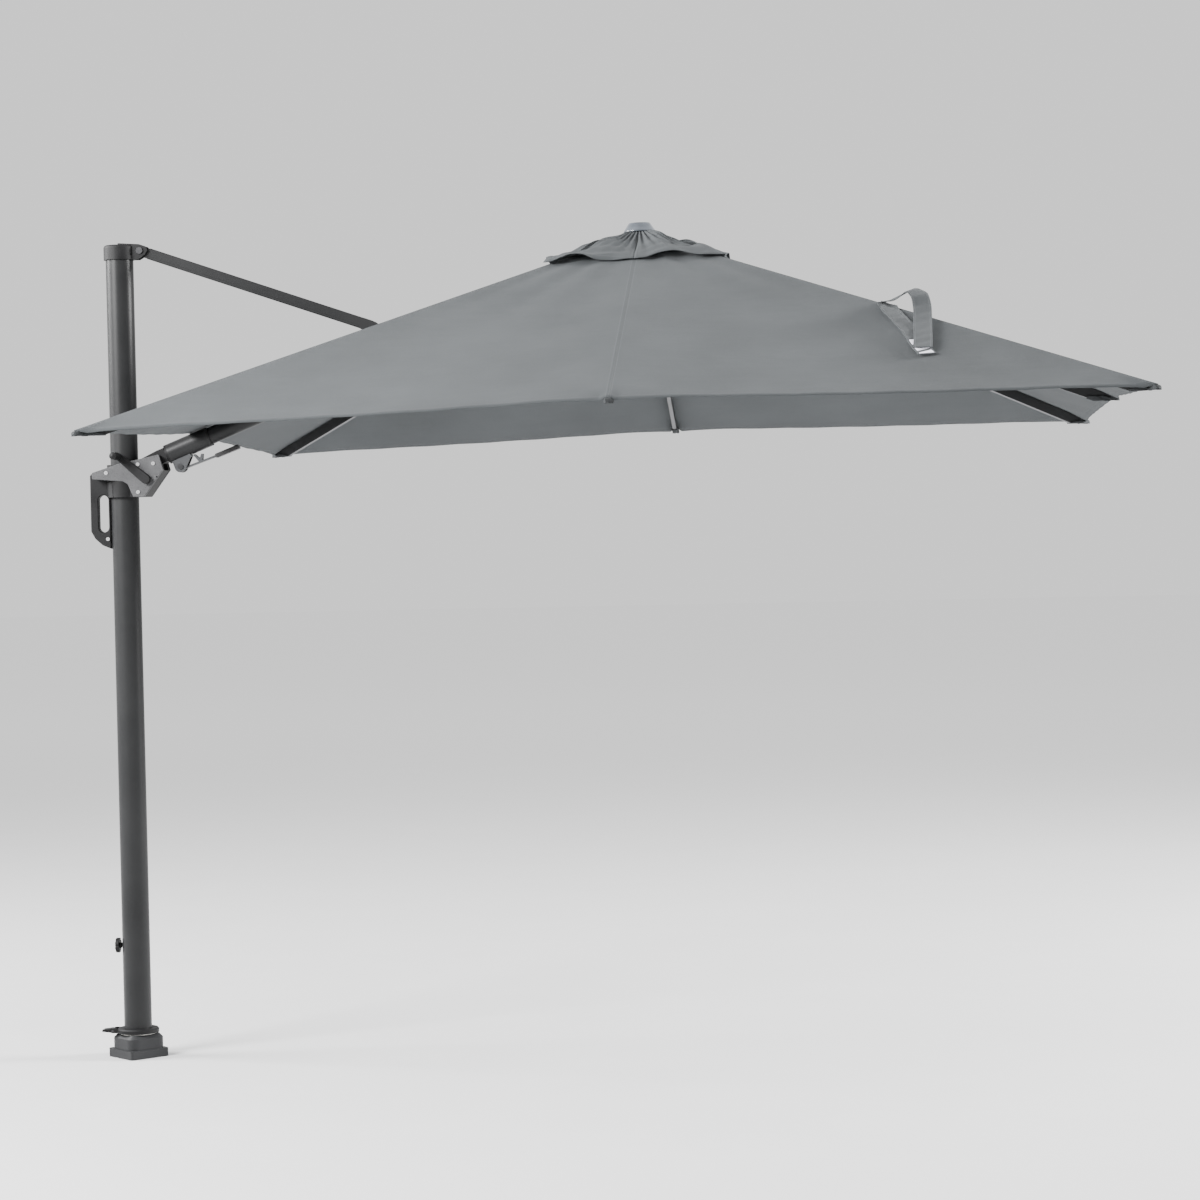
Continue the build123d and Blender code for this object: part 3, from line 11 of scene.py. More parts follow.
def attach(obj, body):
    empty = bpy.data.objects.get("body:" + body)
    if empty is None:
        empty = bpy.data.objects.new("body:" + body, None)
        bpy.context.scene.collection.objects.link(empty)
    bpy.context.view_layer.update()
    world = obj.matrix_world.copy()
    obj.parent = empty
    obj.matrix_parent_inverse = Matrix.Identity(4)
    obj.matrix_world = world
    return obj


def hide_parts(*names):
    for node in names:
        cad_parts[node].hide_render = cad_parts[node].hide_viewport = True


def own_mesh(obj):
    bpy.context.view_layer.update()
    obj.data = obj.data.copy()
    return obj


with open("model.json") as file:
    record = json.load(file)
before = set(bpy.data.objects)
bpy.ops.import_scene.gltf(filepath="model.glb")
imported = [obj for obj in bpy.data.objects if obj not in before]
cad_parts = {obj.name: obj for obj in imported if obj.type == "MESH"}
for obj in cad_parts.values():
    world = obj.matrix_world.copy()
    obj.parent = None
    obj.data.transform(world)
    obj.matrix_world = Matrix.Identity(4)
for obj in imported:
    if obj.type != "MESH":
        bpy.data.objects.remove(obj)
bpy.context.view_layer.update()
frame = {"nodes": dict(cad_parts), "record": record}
nodes = frame["nodes"]

# ---- Driving dimensions, in metres and degrees ----
# The canopy's frame: its origin over the crown, and its tilt away from the mast
CROWN = Vector((1.703, 0.0, 2.598))
TILT = math.radians(1.05)

# Canopy: half its side, and the heights of its apex and rim in its own frame
HALF = 1.5
APEX_Z = 0.0472
RIM_MID_Z = -0.5408
RIM_CORNER_Z = -0.5688
LEFT_RIM_MID_Z = -0.5348
VENT_R = 0.19
CLOTH_T = 0.0013
GORE_ROWS = 56
GORE_COLUMNS = 40
HEM = 0.032
FAR_FROM_SEAM = 0.05
ARM_SIDE = 180.0
TIE_SLOT_X = (-0.842, -0.722)
TIE_SLOT_HALF_W = 0.062

# How the stretched cloth hangs between its ribs
SCALLOP = 0.014
SAG = 0.020
SAG_SPAN = 0.78
HEM_RIPPLE = 0.0009
PULL_FOLD = 0.0030
PULL_PLACE = 0.28
PULL_SPREAD = 0.20
RIB_HALF_W = 0.009
TIP_DROP = 0.009
TIP_DROP_RISE = 0.012
TIP_DROP_REACH = 0.075
TIP_DROP_DEPTH = 0.055

# Vent flap: half its side at the hem and at the finial, its height, slope, folds and the share of it
# that stays on the crown
FLAP_HALF = 0.287
FLAP_TOP_HALF = 0.030
FLAP_EDGE_Z = -0.0567
FLAP_SLOPE = 0.392
FLAP_SPLIT = 0.30
FLAP_ROWS = 44
FLAP_TOP_ROWS = 13
FLAP_COLUMNS = 36
FLAP_ARCH = 0.019
FLAP_BILLOW = 0.012
FLAP_PLEAT = 0.0045
FLAP_RUCK = 0.0035
FLAP_HOLLOW = 0.016
FLAP_INSET = 0.035
FLAP_FLOOR = -0.006
FLAP_LOFT = 0.010
FLAP_HEM_SHIFT = 0.012
FLAP_SEAM_SHIFT = 0.02

# Pockets over the rib tips
TIP_DEPTH = 0.0155
POCKET_HALF_W = 0.0115
POCKET_HALF_H = 0.0205
POCKET_LENGTH = 0.085
POCKET_CLOSED = 0.016
POCKET_PAST_TIP = 0.0155
POCKET_NOSE = 0.009
POCKET_SAG = 0.0012
POCKET_T = 0.0012
POCKET_SIDE_LOW = -0.70
POCKET_SIDE_RISE = 1.55
POCKET_SQUARENESS = 5
POCKET_OPEN_SINE = 0.35
POCKET_NOSE_KEEP = 0.25
POCKET_HEM = 0.02
POCKET_RINGS = 30
POCKET_AROUND = 36

# Closing strap and its hook patch: low stretches lie on the cloth, higher ones stay clear of it
STRAP_HALF_W = 0.027
STRAP_T = 0.0022
STRAP_ROWS = 90
STRAP_COLUMNS = 12
STRAP_WAVE = 0.0008
STRAP_LOW = 0.012
STRAP_LYING = 0.004
STRAP_CLEARANCE = 0.002
PATCH_INSET = 0.006
PATCH_LIFT = 0.0018
PATCH_ENDS = (0.72, 0.98)
PATCH_T = 0.0014

# Each gore of the canopy: the side its mid rib is on, which corner it runs to, and the rib it rides on
GORES = {
    "near_l": (-90.0, -1, "mid_near"),
    "near_r": (-90.0, 1, "mid_near"),
    "right_n": (0.0, -1, "mid_right"),
    "right_f": (0.0, 1, "mid_right"),
    "far_r": (90.0, -1, "mid_far"),
    "far_l": (90.0, 1, "mid_far"),
    "left_f": (ARM_SIDE, -1, "far_left"),
    "left_n": (ARM_SIDE, 1, "near_left"),
}
# Each kind of rib: the radius of its hinge, its slope and the radius of its tip
MID_RIB = (0.060, 21.39, 1.489)
CORNER_RIB = (0.085, 16.24, 2.110)
# Each rib: its azimuth and its kind
RIBS = {
    "mid_near": (-90.0, MID_RIB),
    "mid_right": (0.0, MID_RIB),
    "mid_far": (90.0, MID_RIB),
    "near_left": (-135.0, CORNER_RIB),
    "near_right": (-45.0, CORNER_RIB),
    "far_right": (45.0, CORNER_RIB),
    "far_left": (135.0, CORNER_RIB),
}


def canopy_vector(x, y, z):
    """A vector of the canopy's tilted frame, in the object's frame."""
    return Vector((x * math.cos(TILT) - z * math.sin(TILT), y, x * math.sin(TILT) + z * math.cos(TILT)))


def canopy_point(x, y, z):
    """A point of the canopy's tilted frame, in the object's frame."""
    return CROWN + canopy_vector(x, y, z)


# ---- Node helpers for materials ----
class Shader:
    """A material's node tree with short calls for the nodes these materials share."""

    def __init__(self, name):
        self.material = bpy.data.materials.new(name)
        self.material.use_nodes = True
        self.tree = self.material.node_tree
        self.surface = self.tree.nodes["Principled BSDF"]
        self.output = self.tree.nodes["Material Output"]

    def node(self, kind, **inputs):
        """A node with values for its named inputs."""
        made = self.tree.nodes.new(kind)
        for key, value in inputs.items():
            made.inputs[key.replace("_", " ")].default_value = value
        return made

    def link(self, start, end):
        """Joins an output to an input."""
        self.tree.links.new(start, end)

    def coordinates(self, layer=None):
        """Object coordinates, or a named UV layer."""
        if layer is None:
            return self.tree.nodes.new("ShaderNodeTexCoord").outputs["Object"]
        uv = self.tree.nodes.new("ShaderNodeUVMap")
        uv.uv_map = layer
        return uv.outputs["UV"]

    def stretch(self, vector, scale, turn=0.0):
        """Coordinates scaled and turned about Z."""
        mapping = self.node("ShaderNodeMapping", Scale=scale)
        mapping.inputs["Rotation"].default_value = (0, 0, turn)
        self.link(vector, mapping.inputs["Vector"])
        return mapping.outputs["Vector"]

    def noise(self, vector, scale, detail=4.0, roughness=0.55):
        """Fractal noise from 0 to 1."""
        made = self.node("ShaderNodeTexNoise", Scale=scale, Detail=detail, Roughness=roughness)
        self.link(vector, made.inputs["Vector"])
        return made.outputs["Fac"]

    def ramp(self, value, stops):
        """A colour ramp through stops of place and grey, or place and colour."""
        made = self.tree.nodes.new("ShaderNodeValToRGB")
        ends = made.color_ramp.elements
        while len(ends) < len(stops):
            ends.new(0.5)
        for element, (place, color) in zip(ends, stops):
            element.position = place
            is_color = hasattr(color, "__len__")
            element.color = (*color, 1.0) if is_color else (color, color, color, 1.0)
        self.link(value, made.inputs["Fac"])
        return made.outputs["Color"]

    def math(self, operation, first, second=None, third=None):
        """One step of arithmetic on sockets or numbers."""
        made = self.tree.nodes.new("ShaderNodeMath")
        made.operation = operation
        for socket, value in zip(made.inputs, (first, second, third)):
            if value is None:
                continue
            if isinstance(value, (int, float)):
                socket.default_value = value
            else:
                self.link(value, socket)
        return made.outputs[0]

    def mix(self, amount, first, second):
        """A blend of two colours."""
        made = self.tree.nodes.new("ShaderNodeMix")
        made.data_type = "RGBA"
        for socket, value in ((made.inputs["Factor"], amount), (made.inputs["A"], first),
                              (made.inputs["B"], second)):
            if isinstance(value, bpy.types.NodeSocket):
                self.link(value, socket)
            elif hasattr(value, "__len__"):
                socket.default_value = (*value, 1.0)
            else:
                socket.default_value = value
        return made.outputs["Result"]

    def bump(self, height, strength, distance, below=None):
        """A normal from a height, laid over another normal."""
        made = self.node("ShaderNodeBump", Strength=strength, Distance=distance)
        self.link(height, made.inputs["Height"])
        if below is not None:
            self.link(below, made.inputs["Normal"])
        return made.outputs["Normal"]

    def parts(self, vector):
        """The X, Y and Z sockets of a vector."""
        made = self.tree.nodes.new("ShaderNodeSeparateXYZ")
        self.link(vector, made.inputs[0])
        return made.outputs[0], made.outputs[1], made.outputs[2]

    def set(self, **values):
        """Constant values of the Principled shader."""
        for key, value in values.items():
            self.surface.inputs[key.replace("_", " ")].default_value = value


def coated_metal(name, color, roughness=0.42, speckle=0.10, painted_underside_highlight=None):
    """Powder-coated metal: fine orange peel, slight colour drift, dust and rubbed patches.

    Where a painted underside highlight is given, faces that look down get that paler colour as a painted
    highlight.
    """
    grain = 900.0
    peel_depth = 0.00012
    worn = (0.10, 0.10, 0.105)
    s = Shader(name)
    place = s.coordinates()
    drift = s.noise(place, 3.0, 5.0)
    fine = s.noise(place, grain, 3.0, 0.6)
    scuff = s.noise(s.stretch(place, (1.0, 1.0, 0.25)), 38.0, 8.0, 0.72)
    lighter = tuple(min(1.0, c * (1.0 + 2.2 * speckle) + 0.01) for c in color)
    darker = tuple(c * (1.0 - speckle) for c in color)
    base = s.mix(s.ramp(drift, [(0.32, 0.0), (0.68, 1.0)]), darker, lighter)
    peel = s.mix(s.ramp(fine, [(0.42, 0.0), (0.62, 1.0)]), base, lighter)
    rubbed = s.ramp(scuff, [(0.70, 0.0), (0.78, 0.35)])
    finish = s.mix(rubbed, peel, worn)
    # Painted highlight: faces that look down take the paler colour
    if painted_underside_highlight:
        normal = s.tree.nodes.new("ShaderNodeNewGeometry").outputs["Normal"]
        finish = s.mix(s.math("LESS_THAN", s.parts(normal)[2], -0.8), finish, painted_underside_highlight)
    s.link(finish, s.surface.inputs["Base Color"])
    rough = s.math("MULTIPLY_ADD", fine, 0.16, roughness - 0.08)
    s.link(s.math("MULTIPLY_ADD", rubbed, -0.12, rough), s.surface.inputs["Roughness"])
    s.link(s.bump(scuff, 0.12, 0.0003, s.bump(fine, 0.6, peel_depth)), s.surface.inputs["Normal"])
    s.set(Metallic=0.0, IOR=1.24, Specular_IOR_Level=0.5, Coat_Weight=0.0)
    return s.material


def textured_plastic(name, color, roughness=0.55, grain=1400.0):
    """Spark-eroded nylon: fine leathery grain, faint mould flow and handled shine."""
    s = Shader(name)
    place = s.coordinates()
    cells = s.node("ShaderNodeTexVoronoi", Scale=grain)
    s.link(place, cells.inputs["Vector"])
    flow = s.noise(place, 9.0, 6.0, 0.6)
    shade = s.mix(s.ramp(flow, [(0.3, 0.0), (0.7, 1.0)]), tuple(c * 0.8 for c in color),
                  tuple(c * 1.45 + 0.004 for c in color))
    s.link(shade, s.surface.inputs["Base Color"])
    s.link(s.math("MULTIPLY_ADD", flow, 0.22, roughness - 0.11), s.surface.inputs["Roughness"])
    s.link(s.bump(flow, 0.05, 0.0004, s.bump(cells.outputs["Distance"], 0.35, 0.00012)),
           s.surface.inputs["Normal"])
    s.set(IOR=1.22, Specular_IOR_Level=0.5)
    return s.material


def hammered_coat(name):
    """The carriage covers' grey coat, with pale and dark flecks and a pebbled surface."""
    s = Shader(name)
    place = s.coordinates()
    pebble = s.noise(place, 420.0, 3.0, 0.7)
    fleck = s.noise(place, 1100.0, 2.0, 0.5)
    broad = s.noise(place, 14.0, 4.0)
    base = s.mix(s.ramp(broad, [(0.3, 0.0), (0.7, 1.0)]), (0.040, 0.0405, 0.042), (0.060, 0.060, 0.062))
    flecked = s.mix(s.ramp(fleck, [(0.52, 0.0), (0.66, 0.75)]), base, (0.10, 0.10, 0.104))
    s.link(s.mix(s.ramp(pebble, [(0.36, 0.55), (0.48, 0.0)]), flecked, (0.012, 0.012, 0.013)),
           s.surface.inputs["Base Color"])
    s.link(s.math("MULTIPLY_ADD", pebble, 0.25, 0.36), s.surface.inputs["Roughness"])
    s.link(s.bump(pebble, 0.55, 0.0005, s.bump(fleck, 0.3, 0.0002)), s.surface.inputs["Normal"])
    s.set(Metallic=0.0, IOR=1.3)
    return s.material


def turned_steel(name, color=(0.72, 0.72, 0.73), roughness=0.25):
    """Bright stainless steel with turning marks and fine scratches."""
    s = Shader(name)
    place = s.coordinates()
    rings = s.noise(s.stretch(place, (60.0, 900.0, 60.0)), 3.0, 4.0, 0.5)
    stain = s.noise(place, 60.0, 6.0)
    s.link(s.mix(s.ramp(stain, [(0.35, 0.0), (0.75, 1.0)]), color, tuple(c * 0.72 for c in color)),
           s.surface.inputs["Base Color"])
    s.link(s.math("MULTIPLY_ADD", rings, 0.22, roughness - 0.08), s.surface.inputs["Roughness"])
    s.link(s.bump(rings, 0.25, 0.0001), s.surface.inputs["Normal"])
    s.set(Metallic=1.0)
    return s.material


def soft_rubber(name):
    """Dipped black rubber with fine ribs along the grip and a dusty bloom."""
    s = Shader(name)
    place = s.coordinates()
    bloom = s.noise(place, 25.0, 7.0, 0.65)
    pores = s.noise(place, 1500.0, 2.0)
    s.link(s.mix(s.ramp(bloom, [(0.4, 0.0), (0.8, 1.0)]), (0.006, 0.006, 0.0065), (0.020, 0.020, 0.021)),
           s.surface.inputs["Base Color"])
    s.link(s.math("MULTIPLY_ADD", bloom, 0.2, 0.6), s.surface.inputs["Roughness"])
    s.link(s.bump(pores, 0.4, 0.0001), s.surface.inputs["Normal"])
    s.set(Sheen_Weight=0.15, Sheen_Roughness=0.5)
    return s.material


def gloss_plastic(name):
    """The finial's glossy grey-blue moulding, with faint flow marks and light scratches."""
    s = Shader(name)
    place = s.coordinates()
    flow = s.noise(s.stretch(place, (1.0, 1.0, 4.0)), 20.0, 5.0)
    scratch = s.noise(s.stretch(place, (30.0, 400.0, 30.0), 0.4), 4.0, 3.0)
    s.link(s.mix(s.ramp(flow, [(0.3, 0.0), (0.7, 1.0)]), (0.045, 0.053, 0.064), (0.080, 0.090, 0.104)),
           s.surface.inputs["Base Color"])
    s.link(s.math("MULTIPLY_ADD", scratch, 0.12, 0.14), s.surface.inputs["Roughness"])
    s.link(s.bump(scratch, 0.06, 0.00005), s.surface.inputs["Normal"])
    s.set(Coat_Weight=0.6, Coat_Roughness=0.08)
    return s.material


def woven_cloth(name, color, see_through, hem=HEM, stitch=0.004, seam=0.009):
    """Anthracite polyester: plain weave, slub, dust, seams and stitched hem darkened partly with painted
    shade, letting some daylight through.

    UV layer cloth is in metres on the flat piece. UV layer edges holds the distance to the hem and to the
    nearest seam, in metres.
    """
    stitch_pitch = 0.0022
    stitch_gap = 0.0007
    thread_width = 0.0009
    daylight_tint = (0.60, 0.63, 0.64)
    s = Shader(name)
    flat = s.coordinates("cloth")
    hem_distance, seam_distance, _ = s.parts(s.coordinates("edges"))
    across, along, _ = s.parts(flat)
    threads = []
    for turn in (0.0, math.pi / 2):
        wave = s.node("ShaderNodeTexWave", Scale=260.0, Distortion=0.6, Detail=1.0, Detail_Scale=2.0)
        s.link(s.stretch(flat, (1.0, 1.0, 1.0), turn), wave.inputs["Vector"])
        threads.append(wave.outputs["Fac"])
    weave = s.math("MAXIMUM", *threads)
    slub = s.noise(s.stretch(flat, (220.0, 14.0, 1.0)), 1.0, 3.0)
    slub_across = s.noise(s.stretch(flat, (14.0, 220.0, 1.0)), 1.0, 3.0)
    cloudy = s.noise(flat, 2.6, 6.0, 0.6)
    rumple = s.noise(s.stretch(flat, (5.0, 9.0, 1.0)), 1.0, 7.0, 0.62)
    crease = s.noise(s.stretch(flat, (3.0, 26.0, 1.0), 0.5), 1.0, 4.0, 0.5)
    dark = tuple(c * 0.80 for c in color)
    light = tuple(min(1.0, c * 1.22) for c in color)
    tone = s.mix(s.ramp(cloudy, [(0.30, 0.0), (0.72, 1.0)]), dark, light)
    tone = s.mix(s.math("MULTIPLY", s.ramp(slub, [(0.45, 0.0), (0.7, 1.0)]), 0.35), tone, light)
    tone = s.mix(s.math("MULTIPLY", s.ramp(slub_across, [(0.45, 0.0), (0.7, 1.0)]), 0.30), tone, dark)
    tone = s.mix(s.math("MULTIPLY", weave, 0.25), tone, light)
    in_hem = s.math("LESS_THAN", hem_distance, hem)
    in_seam = s.math("LESS_THAN", seam_distance, seam)
    layer = s.math("MAXIMUM", in_hem, in_seam)
    dash = s.math("GREATER_THAN", s.math("PINGPONG", s.math("ADD", across, along), stitch_pitch), stitch_gap)
    hem_line = s.math("COMPARE", hem_distance, hem - stitch, thread_width)
    seam_line = s.math("COMPARE", seam_distance, seam - 0.002, thread_width)
    thread = s.math("MULTIPLY", s.math("MAXIMUM", hem_line, seam_line), dash)
    # Hem and seam bands darker: partly the doubled cloth, partly painted shade for the lower light through
    # two layers
    tone = s.mix(s.math("MULTIPLY", layer, 0.30), tone, dark)
    tone = s.mix(s.math("MULTIPLY", thread, 0.8), tone, tuple(c * 1.9 for c in color))
    height = s.math("MULTIPLY_ADD", layer, 0.0010, s.math("MULTIPLY", weave, 0.0003))
    height = s.math("MULTIPLY_ADD", thread, 0.0005, height)
    folds = s.math("ADD", s.math("MULTIPLY", rumple, 0.010), s.math("MULTIPLY", crease, 0.004))
    normal = s.bump(height, 0.55, 1.0, s.bump(folds, 0.25, 1.0))
    s.link(tone, s.surface.inputs["Base Color"])
    s.link(s.math("MULTIPLY_ADD", slub, 0.12, 0.78), s.surface.inputs["Roughness"])
    s.link(normal, s.surface.inputs["Normal"])
    s.set(Sheen_Weight=0.02, Sheen_Roughness=0.5, IOR=1.2)
    daylight = s.tree.nodes.new("ShaderNodeBsdfTranslucent")
    s.link(s.mix(0.75, tone, daylight_tint), daylight.inputs["Color"])
    blend = s.tree.nodes.new("ShaderNodeMixShader")
    blend.inputs["Fac"].default_value = see_through
    s.link(s.surface.outputs[0], blend.inputs[1])
    s.link(daylight.outputs[0], blend.inputs[2])
    s.link(blend.outputs[0], s.output.inputs["Surface"])
    return s.material


def hook_patch_material(name):
    """White hook tape: fine bristles in rows."""
    s = Shader(name)
    place = s.coordinates()
    hooks = s.node("ShaderNodeTexVoronoi", Scale=700.0)
    s.link(place, hooks.inputs["Vector"])
    s.link(s.mix(s.ramp(hooks.outputs["Distance"], [(0.2, 0.0), (0.6, 1.0)]), (0.80, 0.79, 0.86),
                 (0.52, 0.52, 0.60)), s.surface.inputs["Base Color"])
    s.link(s.bump(hooks.outputs["Distance"], 0.8, 0.0008), s.surface.inputs["Normal"])
    s.set(Roughness=0.8, Sheen_Weight=0.3, Sheen_Roughness=0.4)
    return s.material


CLOTH = woven_cloth("canopy_cloth", (0.058, 0.0625, 0.0655), see_through=0.12)
POCKET_CLOTH = woven_cloth("pocket_cloth", (0.030, 0.032, 0.0335), see_through=0.03, hem=0.008, stitch=0.002)
STRAP_CLOTH = woven_cloth("strap_cloth", (0.058, 0.062, 0.065), see_through=0.02, hem=0.007, stitch=0.0015)
HOOK_PATCH = hook_patch_material("hook_patch")
MAST_COAT = coated_metal("mast_coat", (0.0062, 0.0064, 0.0068), roughness=0.36)
TUBE_COAT = coated_metal("tube_coat", (0.0056, 0.0058, 0.0062), roughness=0.38)
RIB_COAT = coated_metal("rib_coat", (0.006, 0.0062, 0.0065), roughness=0.42)
# Rib coat with a painted highlight: a paler colour on faces that look down
RIB_PROFILE = coated_metal("rib_profile", (0.010, 0.0105, 0.011), painted_underside_highlight=(0.115, 0.115, 0.12))
PLATE_COAT = coated_metal("plate_coat", (0.0075, 0.0078, 0.0085), roughness=0.46, speckle=0.2)
LEVER_COAT = coated_metal("lever_coat", (0.032, 0.033, 0.035), roughness=0.36)
CHEEK_COAT = hammered_coat("cheek_coat")
BLACK_PLASTIC = textured_plastic("black_plastic", (0.0046, 0.0046, 0.0049))
RUBBER = soft_rubber("soft_rubber")
BRIGHT_STEEL = turned_steel("bright_steel")
PLAIN_STEEL = turned_steel("plain_steel", (0.45, 0.45, 0.46), 0.4)
BLACK_STEEL = turned_steel("black_steel", (0.05, 0.05, 0.052), 0.35)
NYLON = textured_plastic("pale_nylon", (0.55, 0.54, 0.51), 0.5)
FINIAL_GLOSS = gloss_plastic("finial_gloss")

# The finish of each material slot
FINISHES = {
    "plate_metal": PLATE_COAT,
    "inner_steel": PLAIN_STEEL,
    "nylon": NYLON,
    "mast_coat": MAST_COAT,
    "tube_coat": TUBE_COAT,
    "rib_coat": RIB_COAT,
    "body_plastic": BLACK_PLASTIC,
    "cheek_coat": CHEEK_COAT,
    "bracket_metal": LEVER_COAT,
    "soft_grip": RUBBER,
    "bright_screw": BRIGHT_STEEL,
    "dark_screw": BLACK_STEEL,
    "finial_gloss": FINIAL_GLOSS,
    "canopy_cloth": CLOTH,
}


def dress_cad_nodes():
    """Every CAD node gets the finish of its material slot, and the ribs their own with a painted highlight:
    a paler colour on faces that look down.
    """
    slots = {row["node"]: row["material_slot"] for row in frame["record"]["subparts"]}
    for name, node in nodes.items():
        node.data.materials.clear()
        node.data.materials.append(RIB_PROFILE if name.startswith("rib_") else FINISHES[slots[name]])


dress_cad_nodes()


# ---- Cloth pieces ----
def new_mesh(name, points, faces, material, layers=None):
    """A mesh object from points and faces, with optional UV layers given per point."""
    mesh = bpy.data.meshes.new(name)
    mesh.from_pydata([tuple(p) for p in points], [], faces)
    mesh.update()
    mesh.materials.append(material)
    for layer_name, values in (layers or {}).items():
        layer = mesh.uv_layers.new(name=layer_name)
        for loop in mesh.loops:
            layer.data[loop.index].uv = values[loop.vertex_index]
    for polygon in mesh.polygons:
        polygon.use_smooth = True
    made = bpy.data.objects.new(name, mesh)
    bpy.context.collection.objects.link(made)
    return made


def grid_faces(rows, columns, flipped=False):
    """The quads of a grid of points, row by row."""
    faces = []
    for row in range(rows):
        for column in range(columns):
            a = row * (columns + 1) + column
            corners = (a, a + 1, a + columns + 2, a + columns + 1)
            faces.append(corners[::-1] if flipped else corners)
    return faces


def thicken(piece, thickness):
    """Gives a sheet its real thickness, downwards from its outer side."""
    solid = piece.modifiers.new("thickness", "SOLIDIFY")
    solid.thickness = thickness
    solid.offset = -1.0


def gore_outline(side, turn):
    """The apex, the rim's middle and the corner of a gore, in the canopy's frame."""
    a = math.radians(side)
    c = math.radians(side + 45.0 * turn)
    mid_z = LEFT_RIM_MID_Z if side == ARM_SIDE else RIM_MID_Z
    apex = np.array((0.0, 0.0, APEX_Z))
    diagonal = HALF * math.sqrt(2)
    mid = np.array((HALF * math.cos(a), HALF * math.sin(a), mid_z))
    corner = np.array((diagonal * math.cos(c), diagonal * math.sin(c), RIM_CORNER_Z))
    return apex, mid, corner


def in_tie_slot(point):
    """Whether a canopy point is in the opening that the tie bar passes through."""
    return TIE_SLOT_X[0] < point[0] < TIE_SLOT_X[1] and abs(point[1]) < TIE_SLOT_HALF_W


def gore_point(outline, side, s, t):
    """A point of a gore: s from the apex to the rim, t from the mid rib to the corner rib."""
    apex, mid, corner = outline
    rim = mid + (corner - mid) * t
    point = apex + (rim - apex) * s
    slack = 4.0 * t * (1.0 - t)
    inward = -(mid - apex) / np.linalg.norm(mid - apex)
    point = point + inward * SCALLOP * slack * s ** 4
    hang = SAG * slack * math.sin(math.pi * min(1.0, s) ** 1.6 * SAG_SPAN)
    ripple = HEM_RIPPLE * math.sin(46.0 * t + 5.0 * s) * s ** 3 * slack ** 0.5
    near_vent = math.exp(-((s - PULL_PLACE) / PULL_SPREAD) ** 2)
    pull = PULL_FOLD * math.sin(19.0 * t + side) * slack * near_vent
    point[2] -= hang + ripple + pull + tip_drop(outline, side, s, t)
    return point


def tip_drop(outline, side, s, t):
    """How far the hem is drawn down beside a rib's tip, where the pocket is sewn to it."""
    apex, mid, corner = outline
    rim = np.linalg.norm(corner - mid)
    rim_distance = np.linalg.norm(mid - apex) * (1.0 - s)
    drop = 0.0
    for lateral, has_rib in ((rim * t * s, side != ARM_SIDE), (rim * (1.0 - t) * s * 0.7, True)):
        beside = max(0.0, lateral - RIB_HALF_W)
        if has_rib and beside > 0.0:
            rise = min(1.0, beside / TIP_DROP_RISE)
            fade = math.exp(-(beside / TIP_DROP_REACH) ** 1.3)
            drop += TIP_DROP * rise * fade * math.exp(-(rim_distance / TIP_DROP_DEPTH) ** 2)
    return drop


def surface_height(x, y):
    """Height of the near or the right side of the canopy over a point, in the canopy's frame."""
    near = -y >= x
    reach, off = (-y, x) if near else (x, -y)
    side, turn = (-90.0, 1) if near else (0.0, -1)
    share = min(1.0, max(0.0, off / reach))
    return gore_point(gore_outline(side, turn), side, reach / HALF, share)[2]


def build_gore(name):
    """One gore of the canopy as a curved sheet, with its hem and seams in its UV layers."""
    side, turn, _ = GORES[name]
    outline = gore_outline(side, turn)
    apex, mid, corner = outline
    start = VENT_R / HALF
    points, flat, edges = [], [], []
    mid_length = np.linalg.norm(mid - apex)
    rim_length = np.linalg.norm(corner - mid)
    hip_angle = math.atan2(rim_length, mid_length)
    for row in range(GORE_ROWS + 1):
        s = start + (1.0 - start) * row / GORE_ROWS
        for column in range(GORE_COLUMNS + 1):
            t = 0.5 - 0.5 * math.cos(math.pi * column / GORE_COLUMNS)
            points.append(canopy_point(*gore_point(outline, side, s, t)))
            along, across = mid_length * s, rim_length * t * s
            flat.append((across * turn, along))
            hip_distance = (along * math.tan(hip_angle) - across) * math.cos(hip_angle)
            edges.append((mid_length * (1.0 - s), min(across, hip_distance)))
    faces = grid_faces(GORE_ROWS, GORE_COLUMNS, flipped=turn > 0)
    if side == ARM_SIDE:
        centres = [sum((points[i] for i in face), Vector()) / 4 - CROWN for face in faces]
        faces = [face for face, centre in zip(faces, centres) if not in_tie_slot(centre)]
    return new_mesh("cloth_" + name, points, faces, CLOTH, {"cloth": flat, "edges": edges})


def gather(piece, gore_name):
    """The piece rides on its gore's rib, with a mesh of its own."""
    rib = GORES[gore_name][2]
    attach(piece, "rib_" + rib)
    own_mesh(piece)


for gore_name, (_, _, gore_rib) in GORES.items():
    cloth = build_gore(gore_name)
    thicken(cloth, CLOTH_T)
    gather(cloth, gore_name)
    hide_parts("gore_" + gore_name)


def flap_reach(s):
    """How far a flap's row is from its middle, s from its top to its hem."""
    return FLAP_TOP_HALF + (FLAP_HALF - FLAP_TOP_HALF) * s


